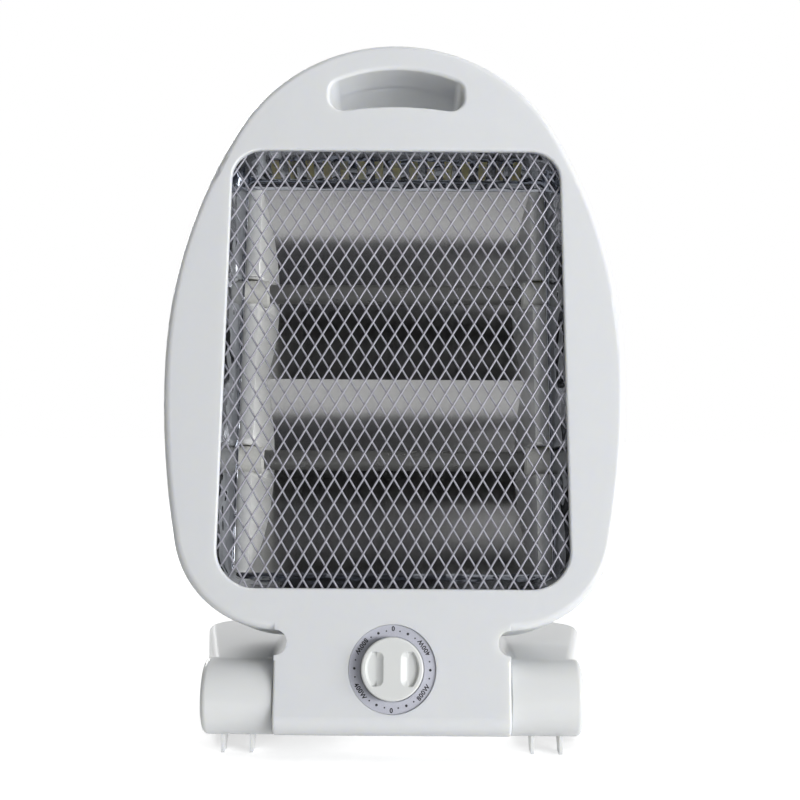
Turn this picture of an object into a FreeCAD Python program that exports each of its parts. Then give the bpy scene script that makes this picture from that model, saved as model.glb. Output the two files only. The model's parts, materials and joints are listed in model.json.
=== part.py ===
import FreeCAD, Part
import math
import os
from FreeCAD import Placement, Rotation, Vector

# Driving dimensions in millimetres and degrees. The body's own frame has its origin on the hinge axis of
# the feet, midway between them: X to the right, Y to the rear, Z up the body.
SIZES = {
    # Stance
    "lean_angle": 12.0,
    # Shell outline, seen from the front
    "body_width": 242.6,
    "body_top": 356.3,
    "widest_height": 171.2,
    "shoulder_arc_radius": 276.0,
    "flank_arc_radius": 470.0,
    "corner_arc_radius": 54.3,
    "underside_height": 32.0,
    "notch_height": 12.5,
    "neck_width": 117.6,
    # Shell section
    "shell_wall": 2.5,
    "front_depth": 21.0,
    "rear_depth": 57.0,
    "front_edge_round": 4.0,
    "rear_edge_round": 18.0,
    "neck_radius": 19.0,
    "neck_front_round": 9.0,
    "neck_end_round": 1.2,
    # Window
    "window_margin": 31.6,
    "window_low": 52.5,
    "window_high": 291.2,
    "window_low_radius": 20.0,
    "window_high_radius": 16.5,
    "window_edge_round": 1.2,
    # Carrying slot
    "slot_width": 74.4,
    "slot_height": 22.7,
    "slot_top_margin": 15.6,
    "slot_top_drop": 9.0,
    "slot_floor_drop": 4.0,
    "slot_corner_radius": 7.5,
    "slot_edge_round": 2.0,
    # Cover screws
    "boss_radius": 4.5,
    "screw_radius": 1.5,
    "screw_head_radius": 3.2,
    "screw_head_height": 2.4,
    "screw_seat_depth": 8.0,
    "screw_reach": 12.0,
    "screw_side_inset": 16.5,
    "screw_side_drop": 36.0,
    "screw_top_share": 0.48,
    "screw_top_rise": 15.0,
    "screw_neck_inset": 16.0,
    "screw_neck_z": 6.0,
    # Rear louvres
    "louvre_margin": 62.0,
    "louvre_height": 4.0,
    "louvre_pitch": 10.0,
    "louvre_count": 9,
    "louvre_low": 180.0,
    "louvre_lower_count": 5,
    "louvre_lower_low": 84.0,
    # Sheet box round the window
    "sheet": 0.8,
    "box_margin": 0.8,
    "box_flange": 4.0,
    "box_depth": 25.5,
    "vent_count": 15,
    "vent_side_margin": 21.8,
    "vent_width_share": 0.475,
    "vent_length": 13.0,
    "vent_front_margin": 6.0,
    # Reflector
    "reflector_side_margin": 5.8,
    "reflector_low_margin": 9.5,
    "reflector_high_margin": 11.2,
    "reflector_lip": 6.0,
    "trough_depth": 29.0,
    "crest_depth": 14.0,
    # Quartz tubes
    "tube_spacing": 95.0,
    "tube_depth": 7.0,
    "tube_radius": 5.5,
    "tube_wall": 1.2,
    "tube_seat": 8.0,
    "coil_radius": 2.8,
    "cap_radius": 7.5,
    "cap_length": 13.5,
    "cap_stub_radius": 4.5,
    "cap_stub_length": 6.5,
    "pin_radius": 1.0,
    "pin_stickout": 5.0,
    "wire_radius": 1.1,
    # Guard
    "mesh_pitch_across": 7.6,
    "mesh_pitch_up": 12.75,
    "strand_width": 1.0,
    "strand_thickness": 0.9,
    "dome_proud": 5.0,
    "dome_side_drop": 9.0,
    "dome_end_drop": 13.0,
    # Sunk dial ring and knob
    "dial_height": 13.1,
    "dial_radius": 21.6,
    "dial_bore": 15.9,
    "dial_thickness": 1.0,
    "dial_sink": 1.0,
    "knob_radius": 15.4,
    "knob_proud": 6.0,
    "knob_gap": 0.5,
    "knob_edge_round": 1.0,
    "scoop_near": 4.5,
    "scoop_far": 12.4,
    "scoop_half_height": 8.6,
    "scoop_depth": 3.0,
    "nut_space_radius": 8.6,
    "nut_space_depth": 2.6,
    "shaft_radius": 3.0,
    "shaft_bite": 5.4,
    "shaft_length": 17.0,
    # Rotary switch
    "switch_width": 26.0,
    "switch_depth": 18.0,
    "bushing_radius": 4.6,
    "nut_across": 13.0,
    "nut_height": 2.0,
    # Feet
    "barrel_radius": 19.0,
    "barrel_length": 37.3,
    "barrel_dome_radius": 100.0,
    "barrel_end_round": 3.0,
    "barrel_inner_round": 0.8,
    "pivot_radius": 4.0,
    "pivot_in_barrel": 21.0,
    "pivot_in_neck": 8.6,
    "leg_reach": 128.0,
    "leg_root_inset": 4.9,
    "leg_flare": 17.8,
    "leg_inner_inset": 1.1,
    "leg_wall": 2.5,
    "leg_rim": 4.0,
    "leg_outer_corner": 24.0,
    "leg_inner_corner": 12.0,
    "leg_top_round": 4.0,
    "fin_reach": 8.5,
    "fin_thickness": 1.7,
    "fin_front": 5.0,
    "fin_toe": 8.0,
    "fin_inner_inset": 11.6,
    "fin_outer_inset": 26.0,
    "pad_radius": 6.0,
    "pad_bite": 2.0,
    # Modules in the neck and behind the reflector
    "module_depth": 11.0,
    "module_gap": 15.0,
    "module_boss_gap": 1.3,
    "tip_switch_height": 15.0,
    "terminal_height": 12.0,
    "cutout_radius": 6.0,
    "cutout_height": 7.0,
    "gland_height": 8.0,
    "gland_radius": 4.5,
    "gland_bore": 3.3,
    "gland_flange": 7.0,
    "gland_flange_thickness": 2.0,
    # Fits
    "run_clearance": 0.05,
    "seat_clearance": 0.2,
    "hinge_gap": 0.4,
    "overrun": 1.0,
}

doc = FreeCAD.newDocument("quartz_heater")
sheet = doc.addObject("Spreadsheet::Sheet", "sizes")
for row, (alias, value) in enumerate(SIZES.items(), start=1):
    sheet.set(f"A{row}", alias)
    sheet.set(f"B{row}", str(value))
    sheet.setAlias(f"B{row}", alias)
doc.recompute()

BODY = "body"
FLOOR = "floor"
sub_parts = []


def size(alias):
    """Value of one driving dimension."""
    return float(sheet.get(alias))


def at(x, y, z):
    """Point or direction."""
    return Vector(x, y, z)


def keep(feature, label, frame):
    """Label a finished sub-part and note the frame that it stands in."""
    feature.Label = label
    sub_parts.append((feature, frame))
    return feature


def keep_shape(label, shape, frame):
    """Sub-part whose solid is worked out from the sheet in code."""
    feature = doc.addObject("Part::Feature", label)
    feature.Shape = shape
    return keep(feature, label, frame)


# Levels and places that several pieces share
ALONG_X = at(1, 0, 0)
ALONG_Y = at(0, 1, 0)
ALONG_Z = at(0, 0, 1)
QUARTER = math.pi / 2
SIDES = {"left": -1, "right": 1}
WALL = size("shell_wall")
FRONT = -size("front_depth")
FRONT_INSIDE = FRONT + WALL
REAR = size("rear_depth")
OVER = size("overrun")
RUN = size("run_clearance")
SEAT = size("seat_clearance")
SHEET = size("sheet")
BOX_REAR = FRONT_INSIDE + size("box_depth")
BODY_HALF = size("body_width") / 2
NECK_HALF = size("neck_width") / 2
NECK_REAR = size("neck_radius")
NECK_TOP = size("underside_height") - size("notch_height")
NOTCH_RADIUS = size("notch_height") / 2
WINDOW_HALF = BODY_HALF - size("window_margin")
WINDOW_MIDDLE = (size("window_low") + size("window_high")) / 2
WINDOW_RISE = size("window_high") - WINDOW_MIDDLE
SLOT_TOP = size("body_top") - size("slot_top_margin")
TUBE_HEIGHTS = {
    "upper": WINDOW_MIDDLE + size("tube_spacing") / 2,
    "lower": WINDOW_MIDDLE - size("tube_spacing") / 2,
}
TUBE_Y = BOX_REAR + size("tube_depth")
REFLECTOR_HALF = WINDOW_HALF - size("reflector_side_margin")
REFLECTOR_LOW = size("window_low") + size("reflector_low_margin")
REFLECTOR_HIGH = size("window_high") - size("reflector_high_margin")
CAP_INNER = REFLECTOR_HALF - size("cap_length")
TUBE_END = CAP_INNER + size("tube_seat")
COIL_END = TUBE_END - size("pin_radius")
PIN_END = REFLECTOR_HALF + size("cap_stub_length") + size("pin_stickout")
DIAL_Z = size("dial_height")
RING_BACK = FRONT + size("dial_sink") + size("dial_thickness")
KNOB_BACK = RING_BACK - size("knob_gap")
KNOB_FRONT = FRONT - size("knob_proud")
SHAFT_FRONT = KNOB_BACK - size("shaft_bite")
SWITCH_FRONT = RING_BACK + WALL
BARREL_RADIUS = size("barrel_radius")
BARREL_START = NECK_HALF + size("hinge_gap")
BARREL_END = BARREL_START + size("barrel_length")
PIVOT_START = BARREL_START - size("hinge_gap") - size("pivot_in_neck")
PIVOT_END = BARREL_START + size("pivot_in_barrel")
LEG_INNER = BARREL_START + size("leg_inner_inset")
LEG_ROOT = BARREL_END - size("leg_root_inset")
LEG_FLARE = BARREL_END + size("leg_flare")
FLOOR_Z = -BARREL_RADIUS - size("fin_reach")
RIM_Z = FLOOR_Z + size("leg_rim")
PAD_X = (LEG_INNER + LEG_FLARE) / 2
PAD_Y = size("leg_reach") - size("leg_outer_corner")
MODULE_END = NECK_HALF - size("screw_neck_inset") - size("boss_radius") - size("module_boss_gap")

# Lengths as expressions of the sheet
RING_BACK_SPAN = "(sizes.front_depth - sizes.dial_sink - sizes.dial_thickness)"
WINDOW_SPAN = "(sizes.body_width - 2 * sizes.window_margin)"
REFLECTOR_SPAN = f"({WINDOW_SPAN} - 2 * sizes.reflector_side_margin)"
TUBE_SPAN = f"({REFLECTOR_SPAN} - 2 * sizes.cap_length + 2 * sizes.tube_seat)"
COIL_SPAN = f"({TUBE_SPAN} - 2 * sizes.pin_radius)"
JUMPER_SPAN = "(sizes.tube_spacing - 2 * sizes.pin_radius - 2 * sizes.run_clearance)"
PIVOT_SPAN = "(sizes.pivot_in_neck + sizes.hinge_gap + sizes.pivot_in_barrel)"
BOSS_SIDE_SPAN = "(sizes.neck_width / 2 - sizes.screw_neck_inset - sizes.boss_radius)"
MODULE_SPAN = f"({BOSS_SIDE_SPAN} - sizes.module_boss_gap - sizes.module_gap)"

# Centres of the arcs that make the egg outline, each tangent to the next
WIDEST_Z = size("widest_height")
SHOULDER_RADIUS = size("shoulder_arc_radius")
SHOULDER_X = BODY_HALF - SHOULDER_RADIUS
FLANK_RADIUS = size("flank_arc_radius")
FLANK_X = BODY_HALF - FLANK_RADIUS
CORNER_RADIUS = size("corner_arc_radius")
CORNER_Z = size("underside_height") + CORNER_RADIUS
CORNER_X = FLANK_X + math.sqrt((FLANK_RADIUS - CORNER_RADIUS) ** 2 - (WIDEST_Z - CORNER_Z) ** 2)
RISE = size("body_top") - WIDEST_Z
TOP_RADIUS = (SHOULDER_RADIUS ** 2 - SHOULDER_X ** 2 - RISE ** 2) / (2 * (SHOULDER_RADIUS - RISE))
TOP_Z = size("body_top") - TOP_RADIUS


def line(start, end):
    """Straight edge."""
    return Part.LineSegment(start, end).toShape()


def arc(start, middle, end):
    """Round edge through three points."""
    return Part.Arc(start, middle, end).toShape()


def outline(corners):
    """Closed wire of straight edges."""
    closed = corners + corners[:1]
    return Part.Wire([line(start, end) for start, end in zip(closed, closed[1:])])


def polar(centre, radius, angle):
    """Point on a circle in the plane of the front, by its angle from +X."""
    return at(centre.x + radius * math.cos(angle), centre.y, centre.z + radius * math.sin(angle))


def arc_between(centre, radius, first, last):
    """Arc in the plane of the front between two angles."""
    middle = (first + last) / 2
    return arc(polar(centre, radius, first), polar(centre, radius, middle), polar(centre, radius, last))


def prism(edges, depth):
    """Solid that runs to the rear by depth from a closed outline in the plane of the front."""
    return Part.Face(Part.Wire(edges)).extrude(at(0, depth, 0))


def egg(inset, front, rear):
    """Prism of the egg outline, drawn in by inset, from the front level to the rear level."""
    flank_low = math.atan2(CORNER_Z - WIDEST_Z, CORNER_X - FLANK_X)
    shoulder_high = math.atan2(TOP_Z - WIDEST_Z, -SHOULDER_X)
    corner = CORNER_RADIUS - inset
    flank = FLANK_RADIUS - inset
    shoulder = SHOULDER_RADIUS - inset
    crown = TOP_RADIUS - inset
    right_corner = at(CORNER_X, front, CORNER_Z)
    left_corner = at(-CORNER_X, front, CORNER_Z)
    edges = [
        line(polar(left_corner, corner, -QUARTER), polar(right_corner, corner, -QUARTER)),
        arc_between(right_corner, corner, -QUARTER, flank_low),
        arc_between(at(FLANK_X, front, WIDEST_Z), flank, flank_low, 0),
        arc_between(at(SHOULDER_X, front, WIDEST_Z), shoulder, 0, shoulder_high),
        arc_between(at(0, front, TOP_Z), crown, shoulder_high, math.pi - shoulder_high),
        arc_between(at(-SHOULDER_X, front, WIDEST_Z), shoulder, math.pi - shoulder_high, math.pi),
        arc_between(at(-FLANK_X, front, WIDEST_Z), flank, math.pi, math.pi - flank_low),
        arc_between(left_corner, corner, math.pi - flank_low, 3 * QUARTER),
    ]
    return prism(edges, rear - front)


def rounded_window(grow, front, rear):
    """Prism of the window outline, made larger all round by grow."""
    half = WINDOW_HALF + grow
    low = size("window_low") - grow
    high = size("window_high") + grow
    low_radius = size("window_low_radius") + grow
    high_radius = size("window_high_radius") + grow
    low_right = at(half - low_radius, front, low + low_radius)
    low_left = at(low_radius - half, front, low + low_radius)
    high_right = at(half - high_radius, front, high - high_radius)
    high_left = at(high_radius - half, front, high - high_radius)
    edges = [
        line(polar(low_left, low_radius, -QUARTER), polar(low_right, low_radius, -QUARTER)),
        arc_between(low_right, low_radius, -QUARTER, 0),
        line(polar(low_right, low_radius, 0), polar(high_right, high_radius, 0)),
        arc_between(high_right, high_radius, 0, QUARTER),
        line(polar(high_right, high_radius, QUARTER), polar(high_left, high_radius, QUARTER)),
        arc_between(high_left, high_radius, QUARTER, math.pi),
        line(polar(high_left, high_radius, math.pi), polar(low_left, low_radius, math.pi)),
        arc_between(low_left, low_radius, math.pi, 3 * QUARTER),
    ]
    return prism(edges, rear - front)


def carrying_slot(grow, front, rear):
    """Prism of the arched hand slot with round corners, made larger all round by grow."""
    half = size("slot_width") / 2 + grow
    top = SLOT_TOP + grow
    top_end = top - size("slot_top_drop")
    floor = SLOT_TOP - size("slot_height") - grow
    floor_end = floor - size("slot_floor_drop")
    edges = [
        arc(at(-half, front, top_end), at(0, front, top), at(half, front, top_end)),
        line(at(half, front, top_end), at(half, front, floor_end)),
        arc(at(half, front, floor_end), at(0, front, floor), at(-half, front, floor_end)),
        line(at(-half, front, floor_end), at(-half, front, top_end)),
    ]
    slot = prism(edges, rear - front)
    corners = [edge for edge in slot.Edges if edge.BoundBox.XLength < RUN and edge.BoundBox.ZLength < RUN]
    return slot.makeFillet(size("slot_corner_radius") + grow, corners)


def box_between(low, high):
    """Box between two corners."""
    span = high - low
    return Part.makeBox(span.x, span.y, span.z, low)


def post(x, z, radius, front, rear):
    """Round post along Y."""
    return Part.makeCylinder(radius, rear - front, at(x, front, z), ALONG_Y)


def axle(x_start, x_end, radius):
    """Round bar along the hinge axis."""
    return Part.makeCylinder(radius, x_end - x_start, at(x_start, 0, 0), ALONG_X)


def edges_at(shape, level, half, low, high):
    """Edges at one depth that lie within a part of the front view."""
    found = []
    for edge in shape.Edges:
        box = edge.BoundBox
        flat = abs(box.YMin - level) < RUN and abs(box.YMax - level) < RUN
        inside = box.XMin > -half and box.XMax < half and box.ZMin > low and box.ZMax < high
        if flat and inside:
            found.append(edge)
    return found


def egg_edges(shape, level):
    """Outer edges of an egg prism at one depth."""
    reach = size("body_top") + OVER
    return edges_at(shape, level, BODY_HALF + OVER, -reach, reach)


def slot_edges(shape, level):
    """Edges of the carrying slot at one depth."""
    half = size("slot_width") / 2 + RUN
    low = SLOT_TOP - size("slot_height") - size("slot_floor_drop") - RUN
    return edges_at(shape, level, half, low, SLOT_TOP + RUN)


def window_edges(shape, level):
    """Edges of the window at one depth."""
    return edges_at(shape, level, WINDOW_HALF + RUN, size("window_low") - RUN, size("window_high") + RUN)


def neck_half(inset, sign):
    """Half of the neck from its split plane: round below, with its corner radius at that side."""
    bottom = size("neck_radius") - inset
    radius = (size("neck_front_round") if sign < 0 else size("neck_radius")) - inset
    reach = (size("front_depth") if sign < 0 else size("neck_radius")) - inset
    top = NECK_TOP - inset
    shift = reach - radius
    turn = radius / math.sqrt(2)
    centre_z = radius - bottom
    edges = [
        line(at(0, 0, top), at(0, 0, -bottom)),
        arc(at(0, sign * shift, -bottom), at(0, sign * (shift + turn), centre_z - turn),
            at(0, sign * reach, centre_z)),
        line(at(0, sign * reach, centre_z), at(0, sign * reach, top)),
        line(at(0, sign * reach, top), at(0, 0, top)),
    ]
    if shift > 0:
        edges.insert(1, line(at(0, 0, -bottom), at(0, sign * shift, -bottom)))
    half = NECK_HALF - inset
    face = Part.Face(Part.Wire(edges))
    face.translate(at(-half, 0, 0))
    return face.extrude(at(2 * half, 0, 0))


def rounded_neck_half(sign):
    """Half of the neck with its end edges rounded, apart from the top and the split."""
    neck = neck_half(0, sign)
    found = []
    for edge in neck.Edges:
        box = edge.BoundBox
        at_end = min(abs(abs(box.XMin) - NECK_HALF), abs(abs(box.XMax) - NECK_HALF)) < RUN
        across = box.XLength < RUN
        on_split = max(abs(box.YMin), abs(box.YMax)) < RUN
        on_top = box.ZMin > NECK_TOP - RUN
        if at_end and across and not on_split and not on_top:
            found.append(edge)
    return neck.makeFillet(size("neck_end_round"), found)


def web(inset, front, rear):
    """Bridge between the neck and the egg, with a half-round notch at each end."""
    half = NECK_HALF - inset
    low = NECK_TOP - WALL
    high = size("underside_height") + size("front_edge_round") + WALL
    bridge = box_between(at(-half, front, low), at(half, rear, high))
    notch_z = NECK_TOP + NOTCH_RADIUS
    for sign in SIDES.values():
        notch = post(sign * NECK_HALF, notch_z, NOTCH_RADIUS + inset, front - OVER, rear + OVER)
        bridge = bridge.cut(notch)
    return bridge


def screw_places():
    """Front-view places of the cover screws."""
    side_x = BODY_HALF - size("screw_side_inset")
    top_x = BODY_HALF * size("screw_top_share")
    neck_x = NECK_HALF - size("screw_neck_inset")
    places = []
    for sign in SIDES.values():
        places.append((sign * side_x, WIDEST_Z - size("screw_side_drop")))
        places.append((sign * top_x, size("window_high") + size("screw_top_rise")))
        places.append((sign * neck_x, size("screw_neck_z")))
    return places


def pivot_bore():
    """Bar that clears the pivot pins through both ends of the neck."""
    reach = NECK_HALF + OVER
    return axle(-reach, reach, size("pivot_radius") + RUN)


def front_bezel():
    """Front shell: egg face, window, half of the carrying slot, neck front, dial cup and screw bosses."""
    face = egg(0, FRONT, 0)
    face = face.makeFillet(size("front_edge_round"), egg_edges(face, FRONT))
    outer = face.fuse([rounded_neck_half(-1), web(0, FRONT, 0)]).removeSplitter()
    hollow = egg(WALL, FRONT_INSIDE, OVER)
    hollow = hollow.fuse([neck_half(WALL, -1), web(WALL, FRONT_INSIDE, OVER)])
    shell = outer.cut(hollow)
    seat = size("dial_radius") + SEAT
    cup = post(0, DIAL_Z, seat + WALL, FRONT_INSIDE, SWITCH_FRONT)
    pieces = [carrying_slot(WALL, FRONT, 0).common(outer), cup]
    pieces += [post(x, z, size("boss_radius"), FRONT_INSIDE - SHEET, 0) for x, z in screw_places()]
    shell = shell.fuse(pieces)
    pilot = size("screw_radius") + RUN
    cuts = [
        carrying_slot(0, FRONT - OVER, OVER),
        rounded_window(0, FRONT - OVER, FRONT_INSIDE + OVER),
        post(0, DIAL_Z, seat, FRONT - OVER, RING_BACK),
        post(0, DIAL_Z, size("bushing_radius") + RUN, FRONT, SWITCH_FRONT + OVER),
        pivot_bore(),
    ]
    cuts += [post(x, z, pilot, -size("screw_reach") - OVER, OVER) for x, z in screw_places()]
    shell = shell.cut(cuts)
    shell = shell.makeFillet(size("window_edge_round"), window_edges(shell, FRONT))
    return shell.makeFillet(size("slot_edge_round"), slot_edges(shell, FRONT))


def rear_cover():
    """Rear shell: deep hull, louvres, the other half of the carrying slot and of the neck."""
    hull = egg(0, 0, REAR)
    hull = hull.makeFillet(size("rear_edge_round"), egg_edges(hull, REAR))
    outer = hull.fuse([rounded_neck_half(1), web(0, 0, NECK_REAR)]).removeSplitter()
    inside = egg(WALL, -OVER, REAR - WALL)
    inside = inside.makeFillet(size("rear_edge_round") - WALL, egg_edges(inside, REAR - WALL))
    hollow = inside.fuse([neck_half(WALL, 1), web(WALL, -OVER, NECK_REAR - WALL)])
    shell = outer.cut(hollow)
    pieces = [carrying_slot(WALL, 0, REAR).common(outer)]
    cuts = [carrying_slot(0, -OVER, REAR + OVER), pivot_bore()]
    pilot = size("screw_radius") + RUN
    well = size("screw_head_radius") + SEAT
    for x, z in screw_places():
        pieces.append(post(x, z, size("boss_radius"), 0, REAR).common(outer))
        cuts.append(post(x, z, pilot, -OVER, REAR + OVER))
        cuts.append(post(x, z, well, size("screw_seat_depth"), REAR + OVER))
    half = BODY_HALF - size("louvre_margin")
    rows = {"louvre_low": size("louvre_count"), "louvre_lower_low": size("louvre_lower_count")}
    for first, count in rows.items():
        for step in range(int(count)):
            low = size(first) + step * size("louvre_pitch")
            high = low + size("louvre_height")
            cuts.append(box_between(at(-half, REAR - WALL - OVER, low), at(half, REAR + OVER, high)))
    gland_hole = size("gland_radius") + RUN
    cuts.append(post(0, size("gland_height"), gland_hole, NECK_REAR - WALL - OVER, NECK_REAR + OVER))
    return shell.fuse(pieces).cut(cuts)


def reflector_housing():
    """Polished sheet box behind the window, with a flange at each end and vents in its top wall."""
    margin = size("box_margin")
    inner = rounded_window(margin, FRONT_INSIDE - OVER, BOX_REAR + OVER)
    wall = rounded_window(margin + SHEET, FRONT_INSIDE, BOX_REAR)
    flange = rounded_window(margin + size("box_flange"), FRONT_INSIDE, FRONT_INSIDE + SHEET)
    box = wall.fuse(flange).removeSplitter().cut(inner)
    ledge = rounded_window(margin + SHEET, BOX_REAR - SHEET, BOX_REAR)
    opening = box_between(
        at(-REFLECTOR_HALF, FRONT, REFLECTOR_LOW), at(REFLECTOR_HALF, BOX_REAR + OVER, REFLECTOR_HIGH))
    box = box.fuse(ledge.cut(opening)).removeSplitter()
    front = FRONT_INSIDE + size("vent_front_margin")
    top = size("window_high")
    spaces = size("vent_count") - 1
    pitch = 2 * (WINDOW_HALF - size("vent_side_margin")) / spaces
    half = pitch * size("vent_width_share") / 2
    slots = []
    for step in range(int(size("vent_count"))):
        x = (step - spaces / 2) * pitch
        low_corner = at(x - half, front, top)
        high_corner = at(x + half, front + size("vent_length"), top + margin + SHEET + OVER)
        slots.append(box_between(low_corner, high_corner))
    return box.cut(slots)


def trough_curve(shift):
    """Two arcs of the reflector from its top lip to its bottom lip, moved to the rear by shift."""
    lip = BOX_REAR + shift
    floor = lip + size("trough_depth")
    ridge = at(lip + size("crest_depth"), WINDOW_MIDDLE, 0)
    return [
        Part.Arc(at(lip, REFLECTOR_HIGH, 0), at(floor, TUBE_HEIGHTS["upper"], 0), ridge),
        Part.Arc(ridge, at(floor, TUBE_HEIGHTS["lower"], 0), at(lip, REFLECTOR_LOW, 0)),
    ]


def new_body(label):
    """Part-design body kept as a sub-part of the leaning body."""
    return keep(doc.addObject("PartDesign::Body", label), label, BODY)


def sketch_on(body, name, role, offset=None):
    """Sketch on one of a body's own planes, moved along its normal by an expression."""
    sketch = body.newObject("Sketcher::SketchObject", name)
    plane = next(item for item in body.Origin.OriginFeatures if item.Role == role)
    sketch.AttachmentSupport = (plane, [""])
    sketch.MapMode = "FlatFace"
    if offset:
        sketch.setExpression("AttachmentOffset.Base.z", offset)
    return sketch


def draw(sketch, geometry):
    """Add edges to a sketch."""
    for item in geometry:
        sketch.addGeometry(item, False)
    return sketch


def polygon(points):
    """Closed run of straight segments for a sketch."""
    closed = points + points[:1]
    return [Part.LineSegment(start, end) for start, end in zip(closed, closed[1:])]


def circle(x, y, radius):
    """Circle for a sketch."""
    return Part.Circle(at(x, y, 0), ALONG_Z, radius)


def pad(body, name, sketch, length, symmetric=False):
    """Pad of a sketch by an expression."""
    feature = body.newObject("PartDesign::Pad", name)
    feature.Profile = sketch
    feature.setExpression("Length", length)
    if symmetric:
        feature.SideType = "Symmetric"
    doc.recompute()
    return feature


def pocket(body, name, sketch, length):
    """Blind pocket that runs against the sketch's normal, checked to take material away."""
    before = body.Shape.Volume
    feature = body.newObject("PartDesign::Pocket", name)
    feature.Profile = sketch
    feature.setExpression("Length", length)
    doc.recompute()
    if body.Shape.Volume >= before:
        raise RuntimeError(name + " cuts nothing")
    return feature


def turn_about(body, name, sketch):
    """Revolution of a sketch about its own horizontal axis."""
    feature = body.newObject("PartDesign::Revolution", name)
    feature.Profile = sketch
    feature.ReferenceAxis = (sketch, ["H_Axis"])
    doc.recompute()
    return feature


def reflector():
    """Twin-trough sheet with a lip above and below that seats on the sheet box."""
    body = new_body("reflector")
    edge = size("reflector_lip")
    back = at(SHEET, 0, 0)
    top = [at(BOX_REAR, REFLECTOR_HIGH + edge, 0), at(BOX_REAR, REFLECTOR_HIGH, 0)]
    bottom = [at(BOX_REAR, REFLECTOR_LOW, 0), at(BOX_REAR, REFLECTOR_LOW - edge, 0)]
    segments = [
        Part.LineSegment(top[0], top[1]),
        Part.LineSegment(bottom[0], bottom[1]),
        Part.LineSegment(bottom[1], bottom[1] + back),
        Part.LineSegment(bottom[1] + back, bottom[0] + back),
        Part.LineSegment(top[1] + back, top[0] + back),
        Part.LineSegment(top[0] + back, top[0]),
    ]
    profile = sketch_on(body, "trough_profile", "YZ_Plane")
    draw(profile, segments + trough_curve(0) + trough_curve(SHEET))
    pad(body, "trough_sheet", profile, REFLECTOR_SPAN, symmetric=True)


def reflector_end(side):
    """End plate that closes both troughs, with a hole for each tube's cap."""
    body = new_body("reflector_end_" + side)
    outside = f"{REFLECTOR_SPAN} / 2"
    offset = outside if SIDES[side] > 0 else f"-{outside} - sizes.sheet"
    profile = sketch_on(body, "end_outline_" + side, "YZ_Plane", offset)
    front = BOX_REAR + SHEET
    closing = Part.LineSegment(at(front, REFLECTOR_LOW, 0), at(front, REFLECTOR_HIGH, 0))
    hole = size("cap_stub_radius") + RUN
    holes = [circle(TUBE_Y, height, hole) for height in TUBE_HEIGHTS.values()]
    draw(profile, trough_curve(SHEET) + [closing] + holes)
    pad(body, "end_plate_" + side, profile, "sizes.sheet")


def ceramic_cap(level, side):
    """Ceramic end of a tube: a bored body inside the end plate and a stub through it."""
    name = level + "_" + side
    body = new_body("ceramic_cap_" + name)
    bore = size("tube_radius") + RUN
    hole = size("pin_radius") + RUN
    rim = size("cap_radius")
    stub = size("cap_stub_radius")
    bevel = size("tube_wall")
    end = REFLECTOR_HALF + size("cap_stub_length")
    section = [
        at(CAP_INNER, bore, 0),
        at(CAP_INNER, rim - bevel, 0),
        at(CAP_INNER + bevel, rim, 0),
        at(REFLECTOR_HALF, rim, 0),
        at(REFLECTOR_HALF, stub, 0),
        at(end, stub, 0),
        at(end, hole, 0),
        at(TUBE_END, hole, 0),
        at(TUBE_END, bore, 0),
    ]
    profile = draw(sketch_on(body, "cap_section_" + name, "XZ_Plane"), polygon(section))
    turn_about(body, "cap_turned_" + name, profile)
    facing = Rotation(ALONG_Z, 0 if SIDES[side] > 0 else 180)
    body.Placement = Placement(at(0, TUBE_Y, TUBE_HEIGHTS[level]), facing)


def primitive(kind, name, place, axis, **expressions):
    """Part primitive at a place, its own Z along an axis, with its sizes bound to the sheet."""
    feature = doc.addObject("Part::" + kind, name)
    for dimension, expression in expressions.items():
        feature.setExpression(dimension, expression)
    feature.Placement = Placement(place, Rotation(ALONG_Z, axis))
    return feature


def difference(name, base, tool):
    """One solid less another."""
    feature = doc.addObject("Part::Cut", name)
    feature.Base = base
    feature.Tool = tool
    return feature


def union(name, base, tool):
    """Two solids as one."""
    feature = doc.addObject("Part::Fuse", name)
    feature.Base = base
    feature.Tool = tool
    feature.Refine = True
    return feature


def quartz_tube(level):
    """Hollow tube seated in its two caps."""
    start = at(-TUBE_END, TUBE_Y, TUBE_HEIGHTS[level])
    wall = primitive(
        "Cylinder", "tube_wall_" + level, start, ALONG_X, Radius="sizes.tube_radius", Height=TUBE_SPAN)
    inside = "sizes.tube_radius - sizes.tube_wall"
    bore = primitive("Cylinder", "tube_bore_" + level, start, ALONG_X, Radius=inside, Height=TUBE_SPAN)
    keep(difference("tube_" + level, wall, bore), "quartz_tube_" + level, BODY)


def heating_coil(level):
    """Wound element of a tube, as a bar of its outer size."""
    start = at(-COIL_END, TUBE_Y, TUBE_HEIGHTS[level])
    label = "heating_coil_" + level
    coil = primitive("Cylinder", label, start, ALONG_X, Radius="sizes.coil_radius", Height=COIL_SPAN)
    keep(coil, label, BODY)


def tube_terminals():
    """Four connection pins, from the ends of the coils out through the caps."""
    pins = []
    for height in TUBE_HEIGHTS.values():
        for sign in SIDES.values():
            start = at(sign * COIL_END, TUBE_Y, height)
            pins.append(Part.makeCylinder(size("pin_radius"), PIN_END - COIL_END, start, ALONG_X * sign))
    return Part.makeCompound(pins)


def jumper_wire():
    """Lead that joins the left ends of both tubes."""
    x = size("pin_radius") + size("wire_radius") - PIN_END
    low = at(x, TUBE_Y, TUBE_HEIGHTS["lower"] + size("pin_radius") + RUN)
    lead = primitive("Cylinder", "jumper_wire", low, ALONG_Z, Radius="sizes.wire_radius", Height=JUMPER_SPAN)
    keep(lead, "jumper_wire", BODY)


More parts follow.
